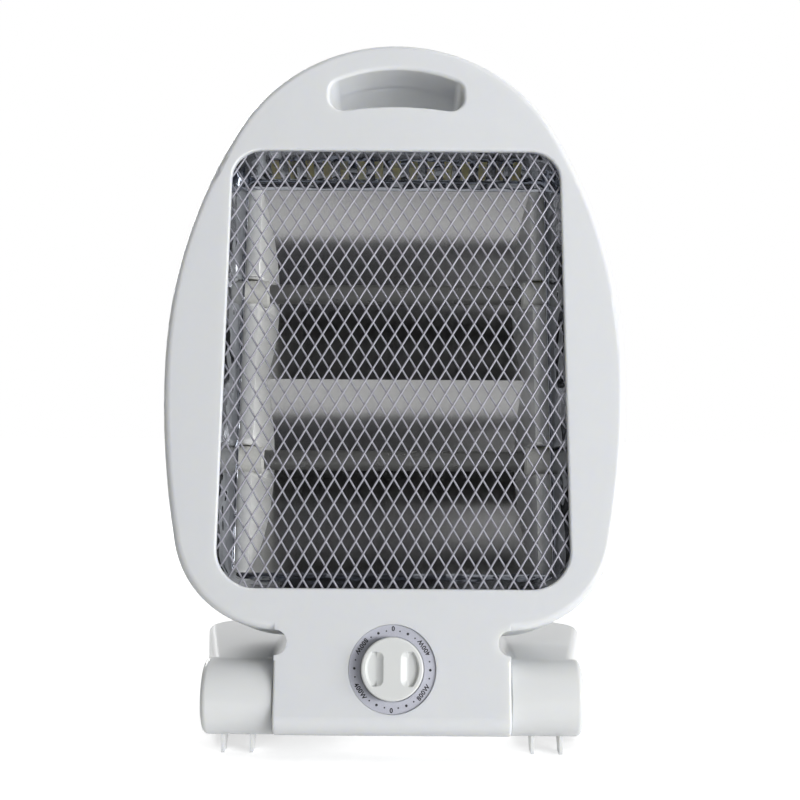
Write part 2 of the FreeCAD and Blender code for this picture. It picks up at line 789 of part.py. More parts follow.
def inside_guard(x, z):
    """Whether a point of the front view lies within the guard's edge."""
    gap = size("box_margin") - SEAT - size("strand_width") / 2
    half = WINDOW_HALF + gap
    low = size("window_low") - gap
    high = size("window_high") + gap
    radius = (size("window_low_radius") if z < WINDOW_MIDDLE else size("window_high_radius")) + gap
    past_x = abs(x) - (half - radius)
    past_z = max(low + radius - z, z - (high - radius))
    if past_x > 0 and past_z > 0:
        return math.hypot(past_x, past_z) < radius
    return abs(x) < half and low < z < high


def guard_depth(x, z):
    """Depth of the domed guard's front: a paraboloid that is deepest at the window's corners."""
    across = size("dome_side_drop") * (x / WINDOW_HALF) ** 2
    upward = size("dome_end_drop") * ((z - WINDOW_MIDDLE) / WINDOW_RISE) ** 2
    return FRONT - size("dome_proud") + across + upward


def strand_end(start_x, direction, sign):
    """Distance along a strand from the window's middle line to the guard's edge."""

    def within(distance):
        return inside_guard(start_x + distance * direction.x, WINDOW_MIDDLE + distance * direction.z)

    far = sign * 2 * WINDOW_RISE
    step_count = 100
    tries = [far * (2 * step / step_count - 1) for step in range(step_count + 1)]
    reached = [distance for distance in tries if within(distance)]
    if not reached:
        return None
    near = reached[-1]
    while abs(far - near) > RUN / step_count:
        middle = (near + far) / 2
        if within(middle):
            near = middle
        else:
            far = middle
    return near


def strand(start_x, direction, layer):
    """One strand of the guard: a parabola on the dome with a flat section."""
    ends = [strand_end(start_x, direction, sign) for sign in SIDES.values()]
    if None in ends or ends[1] - ends[0] < size("mesh_pitch_across"):
        return None
    thick = size("strand_thickness")
    layer_depth = layer * (thick + SEAT)

    def on_dome(distance):
        x = start_x + distance * direction.x
        z = WINDOW_MIDDLE + distance * direction.z
        return at(x, guard_depth(x, z) + layer_depth, z)

    first = on_dome(ends[0])
    last = on_dome(ends[1])
    middle = on_dome((ends[0] + ends[1]) / 2)
    pole = middle * 2 - (first + last) / 2
    curve = Part.BezierCurve()
    curve.setPoles([first, pole, last])
    front = curve.toShape()
    to_back = at(0, thick, 0)
    back = front.copy()
    back.translate(to_back)
    wire = Part.Wire([front, line(last, last + to_back), back, line(first + to_back, first)])
    across = at(direction.z, 0, -direction.x) * size("strand_width")
    solid = Part.Face(wire).extrude(across)
    solid.translate(across / -2)
    return solid


def guard_mesh():
    """Diamond guard: two layers of slanted strands on one dome."""
    pitch = size("mesh_pitch_across")
    slope = at(pitch, 0, size("mesh_pitch_up")).normalize()
    reach = WINDOW_HALF + WINDOW_RISE * pitch / size("mesh_pitch_up")
    count = int(reach / pitch)
    strands = []
    for layer, sign in enumerate(SIDES.values()):
        direction = at(-sign * slope.x, 0, slope.z)
        for step in range(-count, count + 1):
            piece = strand(step * pitch, direction, layer)
            if piece:
                strands.append(piece)
    return Part.makeCompound(strands)


def dial_ring():
    """Flat printed ring that lies in the dial cup round the knob."""
    body = new_body("dial_ring")
    profile = sketch_on(body, "ring_outline", "XZ_Plane", RING_BACK_SPAN)
    draw(profile, [circle(0, DIAL_Z, size("dial_radius")), circle(0, DIAL_Z, size("dial_bore"))])
    pad(body, "ring", profile, "sizes.dial_thickness")


def scoop(sign):
    """Outline of one finger scoop beside the knob's grip bar: straight inside, round outside."""
    near = sign * size("scoop_near")
    high = at(near, DIAL_Z + size("scoop_half_height"), 0)
    low = at(near, DIAL_Z - size("scoop_half_height"), 0)
    return [Part.LineSegment(high, low), Part.Arc(low, at(sign * size("scoop_far"), DIAL_Z, 0), high)]


def knob():
    """Selector knob: a drum with two scoops that leave an upright bar, hollow behind for the nut."""
    body = new_body("knob")
    back = f"({RING_BACK_SPAN} + sizes.knob_gap)"
    length = f"(sizes.front_depth + sizes.knob_proud - {back})"
    rim = sketch_on(body, "knob_outline", "XZ_Plane", back)
    draw(rim, [circle(0, DIAL_Z, size("knob_radius"))])
    drum = pad(body, "drum", rim, length)
    front_edges = []
    for number, edge in enumerate(drum.Shape.Edges, start=1):
        if edge.BoundBox.YMax < KNOB_FRONT + RUN:
            front_edges.append(f"Edge{number}")
    rounded = body.newObject("PartDesign::Fillet", "knob_edge")
    rounded.Base = (drum, front_edges)
    rounded.setExpression("Radius", "sizes.knob_edge_round")
    doc.recompute()
    scoops = sketch_on(body, "scoop_outline", "XZ_Plane", "sizes.front_depth + sizes.knob_proud")
    draw(scoops, scoop(1) + scoop(-1))
    pocket(body, "scoops", scoops, "sizes.scoop_depth")
    under = sketch_on(body, "nut_space_outline", "XZ_Plane", back + " + sizes.nut_space_depth")
    draw(under, [circle(0, DIAL_Z, size("nut_space_radius"))])
    pocket(body, "nut_space", under, "sizes.nut_space_depth")
    bore = sketch_on(body, "shaft_bore_outline", "XZ_Plane", back + " + sizes.shaft_bite")
    draw(bore, [circle(0, DIAL_Z, size("shaft_radius") + RUN)])
    pocket(body, "shaft_bore", bore, "sizes.shaft_bite")


def switch_shaft():
    """Shaft of the rotary switch, carried in its bushing and held in the knob."""
    start = at(0, SHAFT_FRONT, DIAL_Z)
    shaft = primitive(
        "Cylinder", "switch_shaft", start, ALONG_Y, Radius="sizes.shaft_radius", Height="sizes.shaft_length")
    keep(shaft, "switch_shaft", BODY)


def switch_body():
    """Rotary switch behind the dial cup, with its bushing through the cup's floor."""
    half = size("switch_width") / 2
    corner = at(-half, SWITCH_FRONT, DIAL_Z - half)
    width = "sizes.switch_width"
    case = primitive(
        "Box", "switch_case", corner, ALONG_Z, Length=width, Width="sizes.switch_depth", Height=width)
    neck = at(0, RING_BACK - size("nut_height"), DIAL_Z)
    reach = "sizes.nut_height + sizes.shell_wall + sizes.overrun"
    bushing = primitive(
        "Cylinder", "switch_bushing", neck, ALONG_Y, Radius="sizes.bushing_radius", Height=reach)
    bore_radius = "sizes.shaft_radius + sizes.run_clearance"
    bore_length = "sizes.shaft_length"
    start = at(0, SHAFT_FRONT, DIAL_Z)
    bore = primitive("Cylinder", "switch_bore", start, ALONG_Y, Radius=bore_radius, Height=bore_length)
    keep(difference("switch", union("switch_outer", case, bushing), bore), "switch_body", BODY)


def switch_nut():
    """Six-sided nut that clamps the switch to the floor of the dial cup."""
    body = new_body("switch_nut")
    profile = sketch_on(body, "nut_outline", "XZ_Plane", RING_BACK_SPAN)
    radius = size("nut_across") / math.sqrt(3)
    centre = at(0, 0, DIAL_Z)
    corners = []
    side_count = 6
    for step in range(side_count):
        corner = polar(centre, radius, 2 * math.pi * step / side_count)
        corners.append(at(corner.x, corner.z, 0))
    draw(profile, polygon(corners) + [circle(0, DIAL_Z, size("bushing_radius") + RUN)])
    pad(body, "nut", profile, "sizes.nut_height")


def leg_solid(inset, low, high):
    """Leg of the right foot in plan: straight inside, flared outside, round at the rear."""
    rear = size("leg_reach") - inset
    inner = LEG_INNER + inset
    corners = [
        at(inner, inset, low),
        at(LEG_ROOT - inset, inset, low),
        at(LEG_FLARE - inset, rear, low),
        at(inner, rear, low),
    ]
    leg = Part.Face(outline(corners)).extrude(at(0, 0, high - low))
    rounds = {"leg_outer_corner": corners[2], "leg_inner_corner": corners[3]}
    for name, corner in rounds.items():
        upright = []
        for edge in leg.Edges:
            box = edge.BoundBox
            near = math.hypot(box.Center.x - corner.x, box.Center.y - corner.y) < RUN
            if near and box.XLength < RUN and box.YLength < RUN:
                upright.append(edge)
        leg = leg.makeFillet(size(name) - inset, upright)
    return leg


def rounded_leg():
    """Leg with its top edges rounded, apart from the front one."""
    leg = leg_solid(0, RIM_Z, BARREL_RADIUS)
    found = []
    for edge in leg.Edges:
        box = edge.BoundBox
        if box.ZMin > BARREL_RADIUS - RUN and box.YMax > RUN:
            found.append(edge)
    return leg.makeFillet(size("leg_top_round"), found)


def barrel():
    """Barrel of the right foot with a domed outer end."""
    bar = axle(BARREL_START, BARREL_END, BARREL_RADIUS)
    dome = size("barrel_dome_radius")
    bar = bar.common(Part.makeSphere(dome, at(BARREL_END - dome, 0, 0)))
    rims = [edge for edge in bar.Edges if edge.BoundBox.XLength < RUN and edge.BoundBox.ZLength > RUN]
    outer_rim = [edge for edge in rims if edge.BoundBox.XMin > BARREL_START + OVER]
    bar = bar.makeFillet(size("barrel_end_round"), outer_rim)
    inner_rim = [edge for edge in bar.Edges if edge.BoundBox.XMax < BARREL_START + RUN]
    return bar.makeFillet(size("barrel_inner_round"), inner_rim)


def fin(x):
    """Thin front fin under the barrel: square at the toe, cut away to the rear."""
    front = -size("fin_front")
    heel = BARREL_RADIUS
    corners = [
        at(x, front, 0),
        at(x, front, FLOOR_Z),
        at(x, front + size("fin_toe"), FLOOR_Z),
        at(x, heel, -BARREL_RADIUS / 2),
        at(x, heel, 0),
    ]
    thick = size("fin_thickness")
    plate = Part.Face(outline(corners)).extrude(at(thick, 0, 0))
    plate.translate(at(-thick / 2, 0, 0))
    return plate


def foot():
    """Right foot in its own frame: barrel, hollow leg and fins, bored for the pivot pin."""
    wall = size("leg_wall")
    hollow = leg_solid(wall, RIM_Z - OVER, BARREL_RADIUS - wall)
    front_space = box_between(at(LEG_INNER, -OVER, RIM_Z - OVER), at(BARREL_END, BARREL_RADIUS, 0))
    leg = rounded_leg().cut([hollow, front_space])
    core = axle(BARREL_START, BARREL_END, BARREL_RADIUS - wall)
    fins = []
    for name in ("fin_inner_inset", "fin_outer_inset"):
        fins.append(fin(BARREL_START + size(name)).cut(core))
    socket_height = BARREL_RADIUS - wall - RIM_Z
    socket = Part.makeCylinder(size("pad_radius") + wall, socket_height, at(PAD_X, PAD_Y, RIM_Z))
    body = barrel().fuse([leg, socket] + fins)
    bore = axle(BARREL_START - OVER, PIVOT_END + size("hinge_gap"), size("pivot_radius") + RUN)
    pad_hole = Part.makeCylinder(size("pad_radius") + RUN, size("pad_bite"), at(PAD_X, PAD_Y, RIM_Z))
    return body.cut([bore, pad_hole])


def foot_pad(side):
    """Rubber pad pressed up into a leg."""
    place = at(SIDES[side] * PAD_X, PAD_Y, FLOOR_Z)
    label = "foot_pad_" + side
    height = "sizes.leg_rim + sizes.pad_bite"
    rubber = primitive("Cylinder", label, place, ALONG_Z, Radius="sizes.pad_radius", Height=height)
    keep(rubber, label, FLOOR)


def pivot_pin(side):
    """Pin that a foot turns on, fixed in the neck."""
    sign = SIDES[side]
    label = "pivot_pin_" + side
    start = at(sign * PIVOT_START, 0, 0)
    pin = primitive(
        "Cylinder", label, start, ALONG_X * sign, Radius="sizes.pivot_radius", Height=PIVOT_SPAN)
    keep(pin, label, BODY)


def cover_screws():
    """Screws that hold the rear shell to the front shell."""
    seat = size("screw_seat_depth")
    screws = []
    for x, z in screw_places():
        shank = post(x, z, size("screw_radius"), -size("screw_reach"), seat)
        head = post(x, z, size("screw_head_radius"), seat, seat + size("screw_head_height"))
        screws.append(shank.fuse(head))
    return Part.makeCompound(screws)


def neck_module(label, start_x, height):
    """Boxed electrical module against the neck's rear wall, beside a screw boss."""
    corner = at(start_x, NECK_REAR - WALL - size("module_depth"), 0)
    case = primitive(
        "Box", label, corner, ALONG_Z, Length=MODULE_SPAN, Width="sizes.module_depth", Height=height)
    keep(case, label, BODY)


def cord_gland():
    """Inlet bush for the mains cord in the neck's rear wall."""
    height = size("gland_height")
    outside = at(0, NECK_REAR, height)
    inside = at(0, NECK_REAR - WALL, height)
    thick = "sizes.gland_flange_thickness"
    through = "sizes.shell_wall + sizes.gland_flange_thickness"
    flange = primitive("Cylinder", "gland_rim", outside, ALONG_Y, Radius="sizes.gland_flange", Height=thick)
    sleeve = primitive(
        "Cylinder", "gland_sleeve", inside, ALONG_Y, Radius="sizes.gland_radius", Height=through)
    bore = primitive("Cylinder", "gland_hole", inside, ALONG_Y, Radius="sizes.gland_bore", Height=through)
    keep(difference("gland", union("gland_outer", flange, sleeve), bore), "cord_gland", BODY)


def thermal_cutout():
    """Round over-temperature cut-out on the left end plate."""
    face = at(-REFLECTOR_HALF - SHEET, TUBE_Y, WINDOW_MIDDLE)
    cutout = primitive(
        "Cylinder", "thermal_cutout", face, ALONG_X * -1, Radius="sizes.cutout_radius",
        Height="sizes.cutout_height")
    keep(cutout, "thermal_cutout", BODY)


keep_shape("front_bezel", front_bezel(), BODY)
keep_shape("rear_cover", rear_cover(), BODY)
keep_shape("guard_mesh", guard_mesh(), BODY)
keep_shape("reflector_housing", reflector_housing(), BODY)
reflector()
for side_name in SIDES:
    reflector_end(side_name)
for level_name in TUBE_HEIGHTS:
    quartz_tube(level_name)
    heating_coil(level_name)
    for side_name in SIDES:
        ceramic_cap(level_name, side_name)
keep_shape("tube_terminals", tube_terminals(), BODY)
jumper_wire()
dial_ring()
knob()
switch_shaft()
switch_body()
switch_nut()
keep_shape("cover_screws", cover_screws(), BODY)
neck_module("tip_over_switch", -MODULE_END, "sizes.tip_switch_height")
neck_module("terminal_block", size("module_gap"), "sizes.terminal_height")
thermal_cutout()
cord_gland()
right_foot = foot()
keep_shape("foot_right", right_foot, FLOOR)
keep_shape("foot_left", right_foot.mirror(at(0, 0, 0), ALONG_X), FLOOR)
for side_name in SIDES:
    foot_pad(side_name)
    pivot_pin(side_name)
doc.recompute()

# Stand the heater on the floor, with the body leant back about the hinge axis and the origin under the
# middle of the whole.
HINGE = at(0, 0, -FLOOR_Z)
FRAMES = {
    BODY: Placement(HINGE, Rotation(ALONG_X, -size("lean_angle"))),
    FLOOR: Placement(HINGE, Rotation()),
}
for feature, frame in sub_parts:
    feature.Placement = FRAMES[frame].multiply(feature.Placement)
doc.recompute()
boxes = [feature.Shape.optimalBoundingBox(False) for feature, frame in sub_parts]
middle_y = (min(box.YMin for box in boxes) + max(box.YMax for box in boxes)) / 2
for feature, frame in sub_parts:
    feature.Placement = Placement(at(0, -middle_y, 0), Rotation()).multiply(feature.Placement)
doc.recompute()

for item in doc.Objects:
    if "Invalid" in item.State or "Error" in item.State:
        raise RuntimeError("failed object: " + item.Label)
for feature, frame in sub_parts:
    if feature.Shape.isNull() or not feature.Shape.isValid():
        raise RuntimeError("bad shape: " + feature.Label)
os.makedirs("parts", exist_ok=True)
for feature, frame in sub_parts:
    feature.Shape.exportStep("parts/" + feature.Label + ".step")
print("hinge axis y", round(-middle_y, 3), "z", round(HINGE.z, 3))
print("pads x", round(PAD_X, 3), "y", round(PAD_Y - middle_y, 3))
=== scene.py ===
"""Looks of a two-tube quartz heater on folding feet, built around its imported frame."""

import json
import logging
import math
from dataclasses import dataclass
from enum import Enum
from typing import Dict, Iterable, List, Optional, Sequence, Tuple

import bpy
from mathutils import Matrix, Vector


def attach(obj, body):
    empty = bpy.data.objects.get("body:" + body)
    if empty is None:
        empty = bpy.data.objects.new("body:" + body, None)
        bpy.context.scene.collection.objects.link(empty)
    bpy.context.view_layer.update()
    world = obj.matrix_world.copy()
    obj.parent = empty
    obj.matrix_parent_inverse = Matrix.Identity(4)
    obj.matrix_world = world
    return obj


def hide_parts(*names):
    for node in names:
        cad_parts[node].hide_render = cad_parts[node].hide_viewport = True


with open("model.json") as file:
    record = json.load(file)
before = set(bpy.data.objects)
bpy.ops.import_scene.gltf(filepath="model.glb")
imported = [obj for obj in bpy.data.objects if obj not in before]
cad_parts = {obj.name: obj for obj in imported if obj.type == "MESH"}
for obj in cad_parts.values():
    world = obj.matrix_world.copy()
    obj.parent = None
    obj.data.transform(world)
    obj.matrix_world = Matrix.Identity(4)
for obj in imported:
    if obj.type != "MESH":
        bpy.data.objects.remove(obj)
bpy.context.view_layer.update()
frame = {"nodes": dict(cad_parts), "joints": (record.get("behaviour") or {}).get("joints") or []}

MM = 0.001
BEHIND_FACES = -1.0
# Angles in degrees: turns, and the creases above which an edge is shaded sharp.
QUARTER_TURN = 90.0
HALF_TURN = 180.0
SMOOTH_ALL = 180.0
SHARP_EDGE = 30.0
# Places of the tubes' axes in the body's millimetres.
LOWER_TUBE = 124.35
UPPER_TUBE = 219.35
TUBE_DEPTH = 14.0
WHITE = (1.0, 1.0, 1.0, 1.0)
RANGE = ("From Min", "From Max", "To Min", "To Max")
Point = Tuple[float, float, float]
Colour = Point
Span = Tuple[float, float]
Socket = bpy.types.NodeSocket
Faces = List[Tuple[int, ...]]

log = logging.getLogger("quartz_heater")


class Rider(Enum):
    """Bodies of the frame that new pieces ride on."""

    HOUSING = "housing"
    KNOB = "knob"


class Slot(Enum):
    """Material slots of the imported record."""

    KNOB = "knob_plastic"
    GUARD = "guard_steel"
    SHEET = "mirror_sheet"
    DIAL = "dial_print"
    STEEL = "plain_steel"


@dataclass(frozen=True)
class Grain:
    """Noise over a surface: waves in a metre, octaves of finer noise and a factor on each axis."""

    scale: float
    detail: float = 2.0
    stretch: Point = (1.0, 1.0, 1.0)


@dataclass(frozen=True)
class Relief:
    """Bump raised by a noise: the share of it that shows and a whole step's height in metres."""

    grain: Grain
    strength: float
    height: float = 0.0001


Reliefs = Tuple[Relief, ...]


class Tree:
    """Node tree of a material or a world, with short ways to add nodes and links."""

    def __init__(self, owner: bpy.types.ID) -> None:
        """Start with no nodes.

        Args:
            owner: Material or world that holds the tree.
        """
        owner.use_nodes = True
        self.tree = owner.node_tree
        self.tree.nodes.clear()

    def node(self, kind: str, *values: Tuple[str, object]) -> bpy.types.Node:
        """Add a node and set its inputs.

        Args:
            kind: Kind of shader node.
            values: Name and value of each input to set.

        Returns:
            The new node.
        """
        made = self.tree.nodes.new("ShaderNode" + kind)
        for name, value in values:
            made.inputs[name].default_value = value
        return made

    def link(self, source: Socket, target: Socket) -> None:
        """Join an output to an input."""
        self.tree.links.new(source, target)

    def math(self, operation: str, first: Socket, second: Socket) -> Socket:
        """Work out a value from two others.

        Args:
            operation: Name of the operation.
            first: First value.
            second: Second value.

        Returns:
            The result.
        """
        made = self.node("Math")
        made.operation = operation
        self.link(first, made.inputs[0])
        self.link(second, made.inputs[1])
        return made.outputs["Value"]

    def seen_directly(self) -> Socket:
        """Give 1 for camera, mirror and glass rays, and 0 for the rest.

        Returns:
            The value.
        """
        rays = self.node("LightPath").outputs
        seen = self.math("MAXIMUM", rays["Is Camera Ray"], rays["Is Glossy Ray"])
        return self.math("MAXIMUM", seen, rays["Is Transmission Ray"])


class Graph(Tree):
    """Node tree of one finish, round a principled shader."""

    noise_middle: Span = (0.3, 0.7)

    def __init__(self, name: str, constants: Dict[str, object]) -> None:
        """Start a material.

        Args:
            name: Name of the material.
            constants: The shader's inputs that are the same all over.
        """
        self.material = bpy.data.materials.new(name)
        super().__init__(self.material)
        self.shader = self.node("BsdfPrincipled", *constants.items())
        output = self.node("OutputMaterial")
        self.link(self.shader.outputs["BSDF"], output.inputs["Surface"])
        self.coordinates = self.node("TexCoord").outputs["Object"]

    def noise(self, grain: Grain) -> Socket:
        """Add a noise in the frame's metres.

        Args:
            grain: Size and direction of the noise.

        Returns:
            The noise's value.
        """
        mapping = self.node("Mapping", ("Scale", grain.stretch))
        self.link(self.coordinates, mapping.inputs["Vector"])
        made = self.node("TexNoise", ("Scale", grain.scale), ("Detail", grain.detail))
        self.link(mapping.outputs["Vector"], made.inputs["Vector"])
        return made.outputs["Fac"]

    def gloss(self, grain: Grain, span: Span) -> None:
        """Vary the roughness by the middle of a noise.

        Args:
            grain: Size and direction of the noise.
            span: Roughness at the noise's low and high sides.
        """
        made = self.node("MapRange", *zip(RANGE, (*self.noise_middle, *span)))
        self.link(self.noise(grain), made.inputs["Value"])
        self.link(made.outputs["Result"], self.shader.inputs["Roughness"])

    def tint(self, grain: Grain, low: Colour, high: Colour) -> None:
        """Colour the surface between two tints by a noise.

        Args:
            grain: Size and direction of the noise.
            low: Tint at the noise's low side.
            high: Tint at the noise's high side.
        """
        ramp = self.node("ValToRGB")
        for number, colour in enumerate((low, high)):
            element = ramp.color_ramp.elements[number]
            element.position = self.noise_middle[number]
            element.color = (*colour, 1.0)
        self.link(self.noise(grain), ramp.inputs["Fac"])
        self.link(ramp.outputs["Color"], self.shader.inputs["Base Color"])

    def raise_by(self, reliefs: Sequence[Relief]) -> None:
        """Raise the surface by reliefs, from the coarsest to the finest.

        Args:
            reliefs: Bumps, each laid over the one before.
        """
        target = self.shader.inputs["Normal"]
        for relief in reversed(reliefs):
            made = self.node("Bump", ("Strength", relief.strength), ("Distance", relief.height))
            self.link(self.noise(relief.grain), made.inputs["Height"])
            self.link(made.outputs["Normal"], target)
            target = made.inputs["Normal"]


@dataclass(frozen=True)
class Finish:
    """Surface whose two tints, gloss and reliefs each follow a noise."""

    name: str
    pale: Colour
    deep: Colour
    gloss: Span
    mottle: Grain
    shine: Grain
    reliefs: Reliefs
    metal: float = 0.0

    def constants(self) -> Dict[str, object]:
        """Give the shader's sockets that are the same all over."""
        return {"Metallic": self.metal}

    def material(self) -> bpy.types.Material:
        """Build the finish's material.

        Returns:
            The material.
        """
        graph = Graph(self.name, self.constants())
        graph.tint(self.mottle, self.deep, self.pale)
        graph.gloss(self.shine, self.gloss)
        graph.raise_by(self.reliefs)
        return graph.material


@dataclass(frozen=True)
class MouldedPlastic(Finish):
    """Moulded plastic: faint flow mottling, fine skin, uneven gloss and light under the skin."""

    gloss: Span = (0.3, 0.325)
    mottle: Grain = Grain(350.0, 1.0)
    shine: Grain = Grain(500.0)
    reliefs: Reliefs = (Relief(Grain(2600.0, 1.0), 0.012, 0.00002),)
    refraction: float = 1.5
    translucence: float = 0.6
    light_path: Point = (0.006, 0.0055, 0.0038)

    def constants(self) -> Dict[str, object]:
        """Give the sockets of translucent plastic."""
        return {"IOR": self.refraction, "Subsurface Weight": self.translucence,
                "Subsurface Radius": self.light_path, "Subsurface Scale": 1.0}


@dataclass(frozen=True)
class PolishedSheet(Finish):
    """Bright rolled sheet: long waves from pressing, fine rolling lines and uneven polish."""

    gloss: Span = (0.17, 0.21)
    mottle: Grain = Grain(30.0, 3.0)
    shine: Grain = Grain(75.0)
    reliefs: Reliefs = (Relief(Grain(14.0, 1.0), 0.15, 0.0008),
                        Relief(Grain(55.0, 2.0, (4.0, 1.0, 60.0)), 0.02))
    metal: float = 1.0


@dataclass(frozen=True)
class PlatedWire(Finish):
    """Plated steel wire with a dull shine and small pits."""

    gloss: Span = (0.42, 0.56)
    mottle: Grain = Grain(160.0, 3.0)
    shine: Grain = Grain(420.0)
    reliefs: Reliefs = (Relief(Grain(1800.0), 0.12),)
    metal: float = 0.3


@dataclass(frozen=True)
class FrostedQuartz(Finish):
    """Milky fused-quartz tube with drawn streaks along it."""

    gloss: Span = (0.22, 0.38)
    mottle: Grain = Grain(40.0, 3.0, (0.3, 4.0, 4.0))
    shine: Grain = Grain(90.0)
    reliefs: Reliefs = (Relief(Grain(120.0, 2.0, (0.2, 3.0, 3.0)), 0.1, 0.0002),)
    refraction: float = 1.46
    clearness: float = 0.55

    def constants(self) -> Dict[str, object]:
        """Give the sockets of milky quartz."""
        return {"IOR": self.refraction, "Transmission Weight": self.clearness}


@dataclass(frozen=True)
class FiredCeramic(Finish):
    """Unglazed fired ceramic: chalky, lightly speckled and grainy."""

    gloss: Span = (0.5, 0.7)
    mottle: Grain = Grain(700.0, 4.0)
    shine: Grain = Grain(200.0)
    reliefs: Reliefs = (Relief(Grain(1500.0, 3.0), 0.2),)


@dataclass(frozen=True)
class PrintedFoil(Finish):
    """Satin silver foil of the dial, with a fine metallic grain."""

    gloss: Span = (0.38, 0.5)
    mottle: Grain = Grain(2400.0)
    shine: Grain = Grain(900.0)
    reliefs: Reliefs = (Relief(Grain(3000.0, 1.0), 0.06, 0.00005),)
    metal: float = 0.15


@dataclass(frozen=True)
class MatteCoat(Finish):
    """Dull surface of rubber, ink or dark moulding, with a fine grain."""

    gloss: Span = (0.55, 0.75)
    mottle: Grain = Grain(900.0, 3.0)
    shine: Grain = Grain(180.0)
    reliefs: Reliefs = (Relief(Grain(1800.0), 0.1),)


@dataclass(frozen=True)
class PlainSteel(Finish):
    """Bare steel of pins, screws and wire ends, with turning marks."""

    gloss: Span = (0.28, 0.45)
    mottle: Grain = Grain(120.0, 3.0)
    shine: Grain = Grain(300.0)
    reliefs: Reliefs = (Relief(Grain(260.0, 2.0, (12.0, 1.0, 1.0)), 0.12),)
    metal: float = 1.0


class Finishes:
    """Every finish of the heater, built once and shared by its pieces."""

    def __init__(self) -> None:
        """Build all the materials."""
        self.shell = MouldedPlastic(
            "white_shell_plastic", (0.70, 0.715, 0.725), (0.697, 0.712, 0.722)).material()
        self.rear = MouldedPlastic(
            "white_rear_plastic", (0.69, 0.705, 0.715), (0.685, 0.70, 0.71), (0.38, 0.42),
            reliefs=(Relief(Grain(2600.0, 1.0), 0.03, 0.00002),)).material()
        self.foot = MouldedPlastic(
            "white_foot_plastic", (0.70, 0.715, 0.72), (0.697, 0.712, 0.717),
            translucence=0.3).material()
        self.knob = MouldedPlastic(
            "ivory_knob_plastic", (0.66, 0.675, 0.67), (0.657, 0.672, 0.667), (0.34, 0.37),
            translucence=0.08).material()
        self.sheet = PolishedSheet(
            "bright_trough_sheet", (0.46, 0.46, 0.46), (0.43, 0.43, 0.43)).material()
        self.box = PolishedSheet(
            "bright_box_sheet", (0.42, 0.44, 0.48), (0.32, 0.335, 0.37), (0.05, 0.1),
            reliefs=(Relief(Grain(75.0, 1.0), 0.7, 0.003), Relief(Grain(55.0), 0.05))).material()
        self.cheek = PolishedSheet(
            "satin_cheek_sheet", (0.95, 0.955, 0.945), (0.91, 0.915, 0.905), (0.3, 0.34),
            metal=0.2).material()
        self.guard = PlatedWire(
            "plated_guard_wire", (0.40, 0.40, 0.455), (0.35, 0.35, 0.40)).material()
        self.quartz = FrostedQuartz(
            "milky_quartz", (0.25, 0.25, 0.245), (0.18, 0.18, 0.18)).material()
        self.ceramic = FiredCeramic(
            "fired_ceramic", (0.68, 0.68, 0.65), (0.6, 0.6, 0.57)).material()
        self.dial = PrintedFoil(
            "silver_dial_foil", (0.56, 0.57, 0.64), (0.48, 0.49, 0.56)).material()
        self.ink = MatteCoat(
            "dark_dial_ink", (0.03, 0.03, 0.035), (0.015, 0.015, 0.018)).material()
        self.rubber = MatteCoat(
            "foot_pad_rubber", (0.05, 0.05, 0.05), (0.025, 0.025, 0.025)).material()
        self.inner = MatteCoat(
            "dark_inner_moulding", (0.09, 0.088, 0.085), (0.05, 0.05, 0.05), (0.4, 0.6)).material()
        self.steel = PlainSteel(
            "turned_steel", (0.56, 0.56, 0.56), (0.42, 0.42, 0.42)).material()
        self.coil = PlainSteel(
            "coil_wire", (0.34, 0.31, 0.28), (0.2, 0.19, 0.18),
            reliefs=(Relief(Grain(260.0), 0.12),)).material()


@dataclass(frozen=True)
class BodyAxes:
    """The leaning body's own axes in millimetres: X to the right, Y to the rear, Z up the body."""

    lean_degrees: float = 12.0
    hinge_joint: str = "foot_right_fold"

    def matrix(self) -> Matrix:
        """Give the change from the body's millimetres to the frame's metres.

        Returns:
            The change.
        """
        joint = next(one for one in frame["joints"] if one["name"] == self.hinge_joint)
        hinge = Vector(joint["pos_m"])
        hinge.x = 0.0
        lean = Matrix.Rotation(-math.radians(self.lean_degrees), 4, "X")
        return Matrix.Translation(hinge) @ lean @ Matrix.Scale(MM, 4)


def circle(count: int) -> List[float]:
    """Angles in radians of points spread evenly round a circle."""
    return [2.0 * math.pi * step / count for step in range(count)]


def put(name: str, data: bpy.types.ID) -> bpy.types.Object:
    """Make an object of its data and put it in the scene.

    Args:
        name: Name of the object.
        data: Mesh, word, lamp or camera that it shows.

    Returns:
        The new object.
    """
    made = bpy.data.objects.new(name, data)
    bpy.context.scene.collection.objects.link(made)
    return made


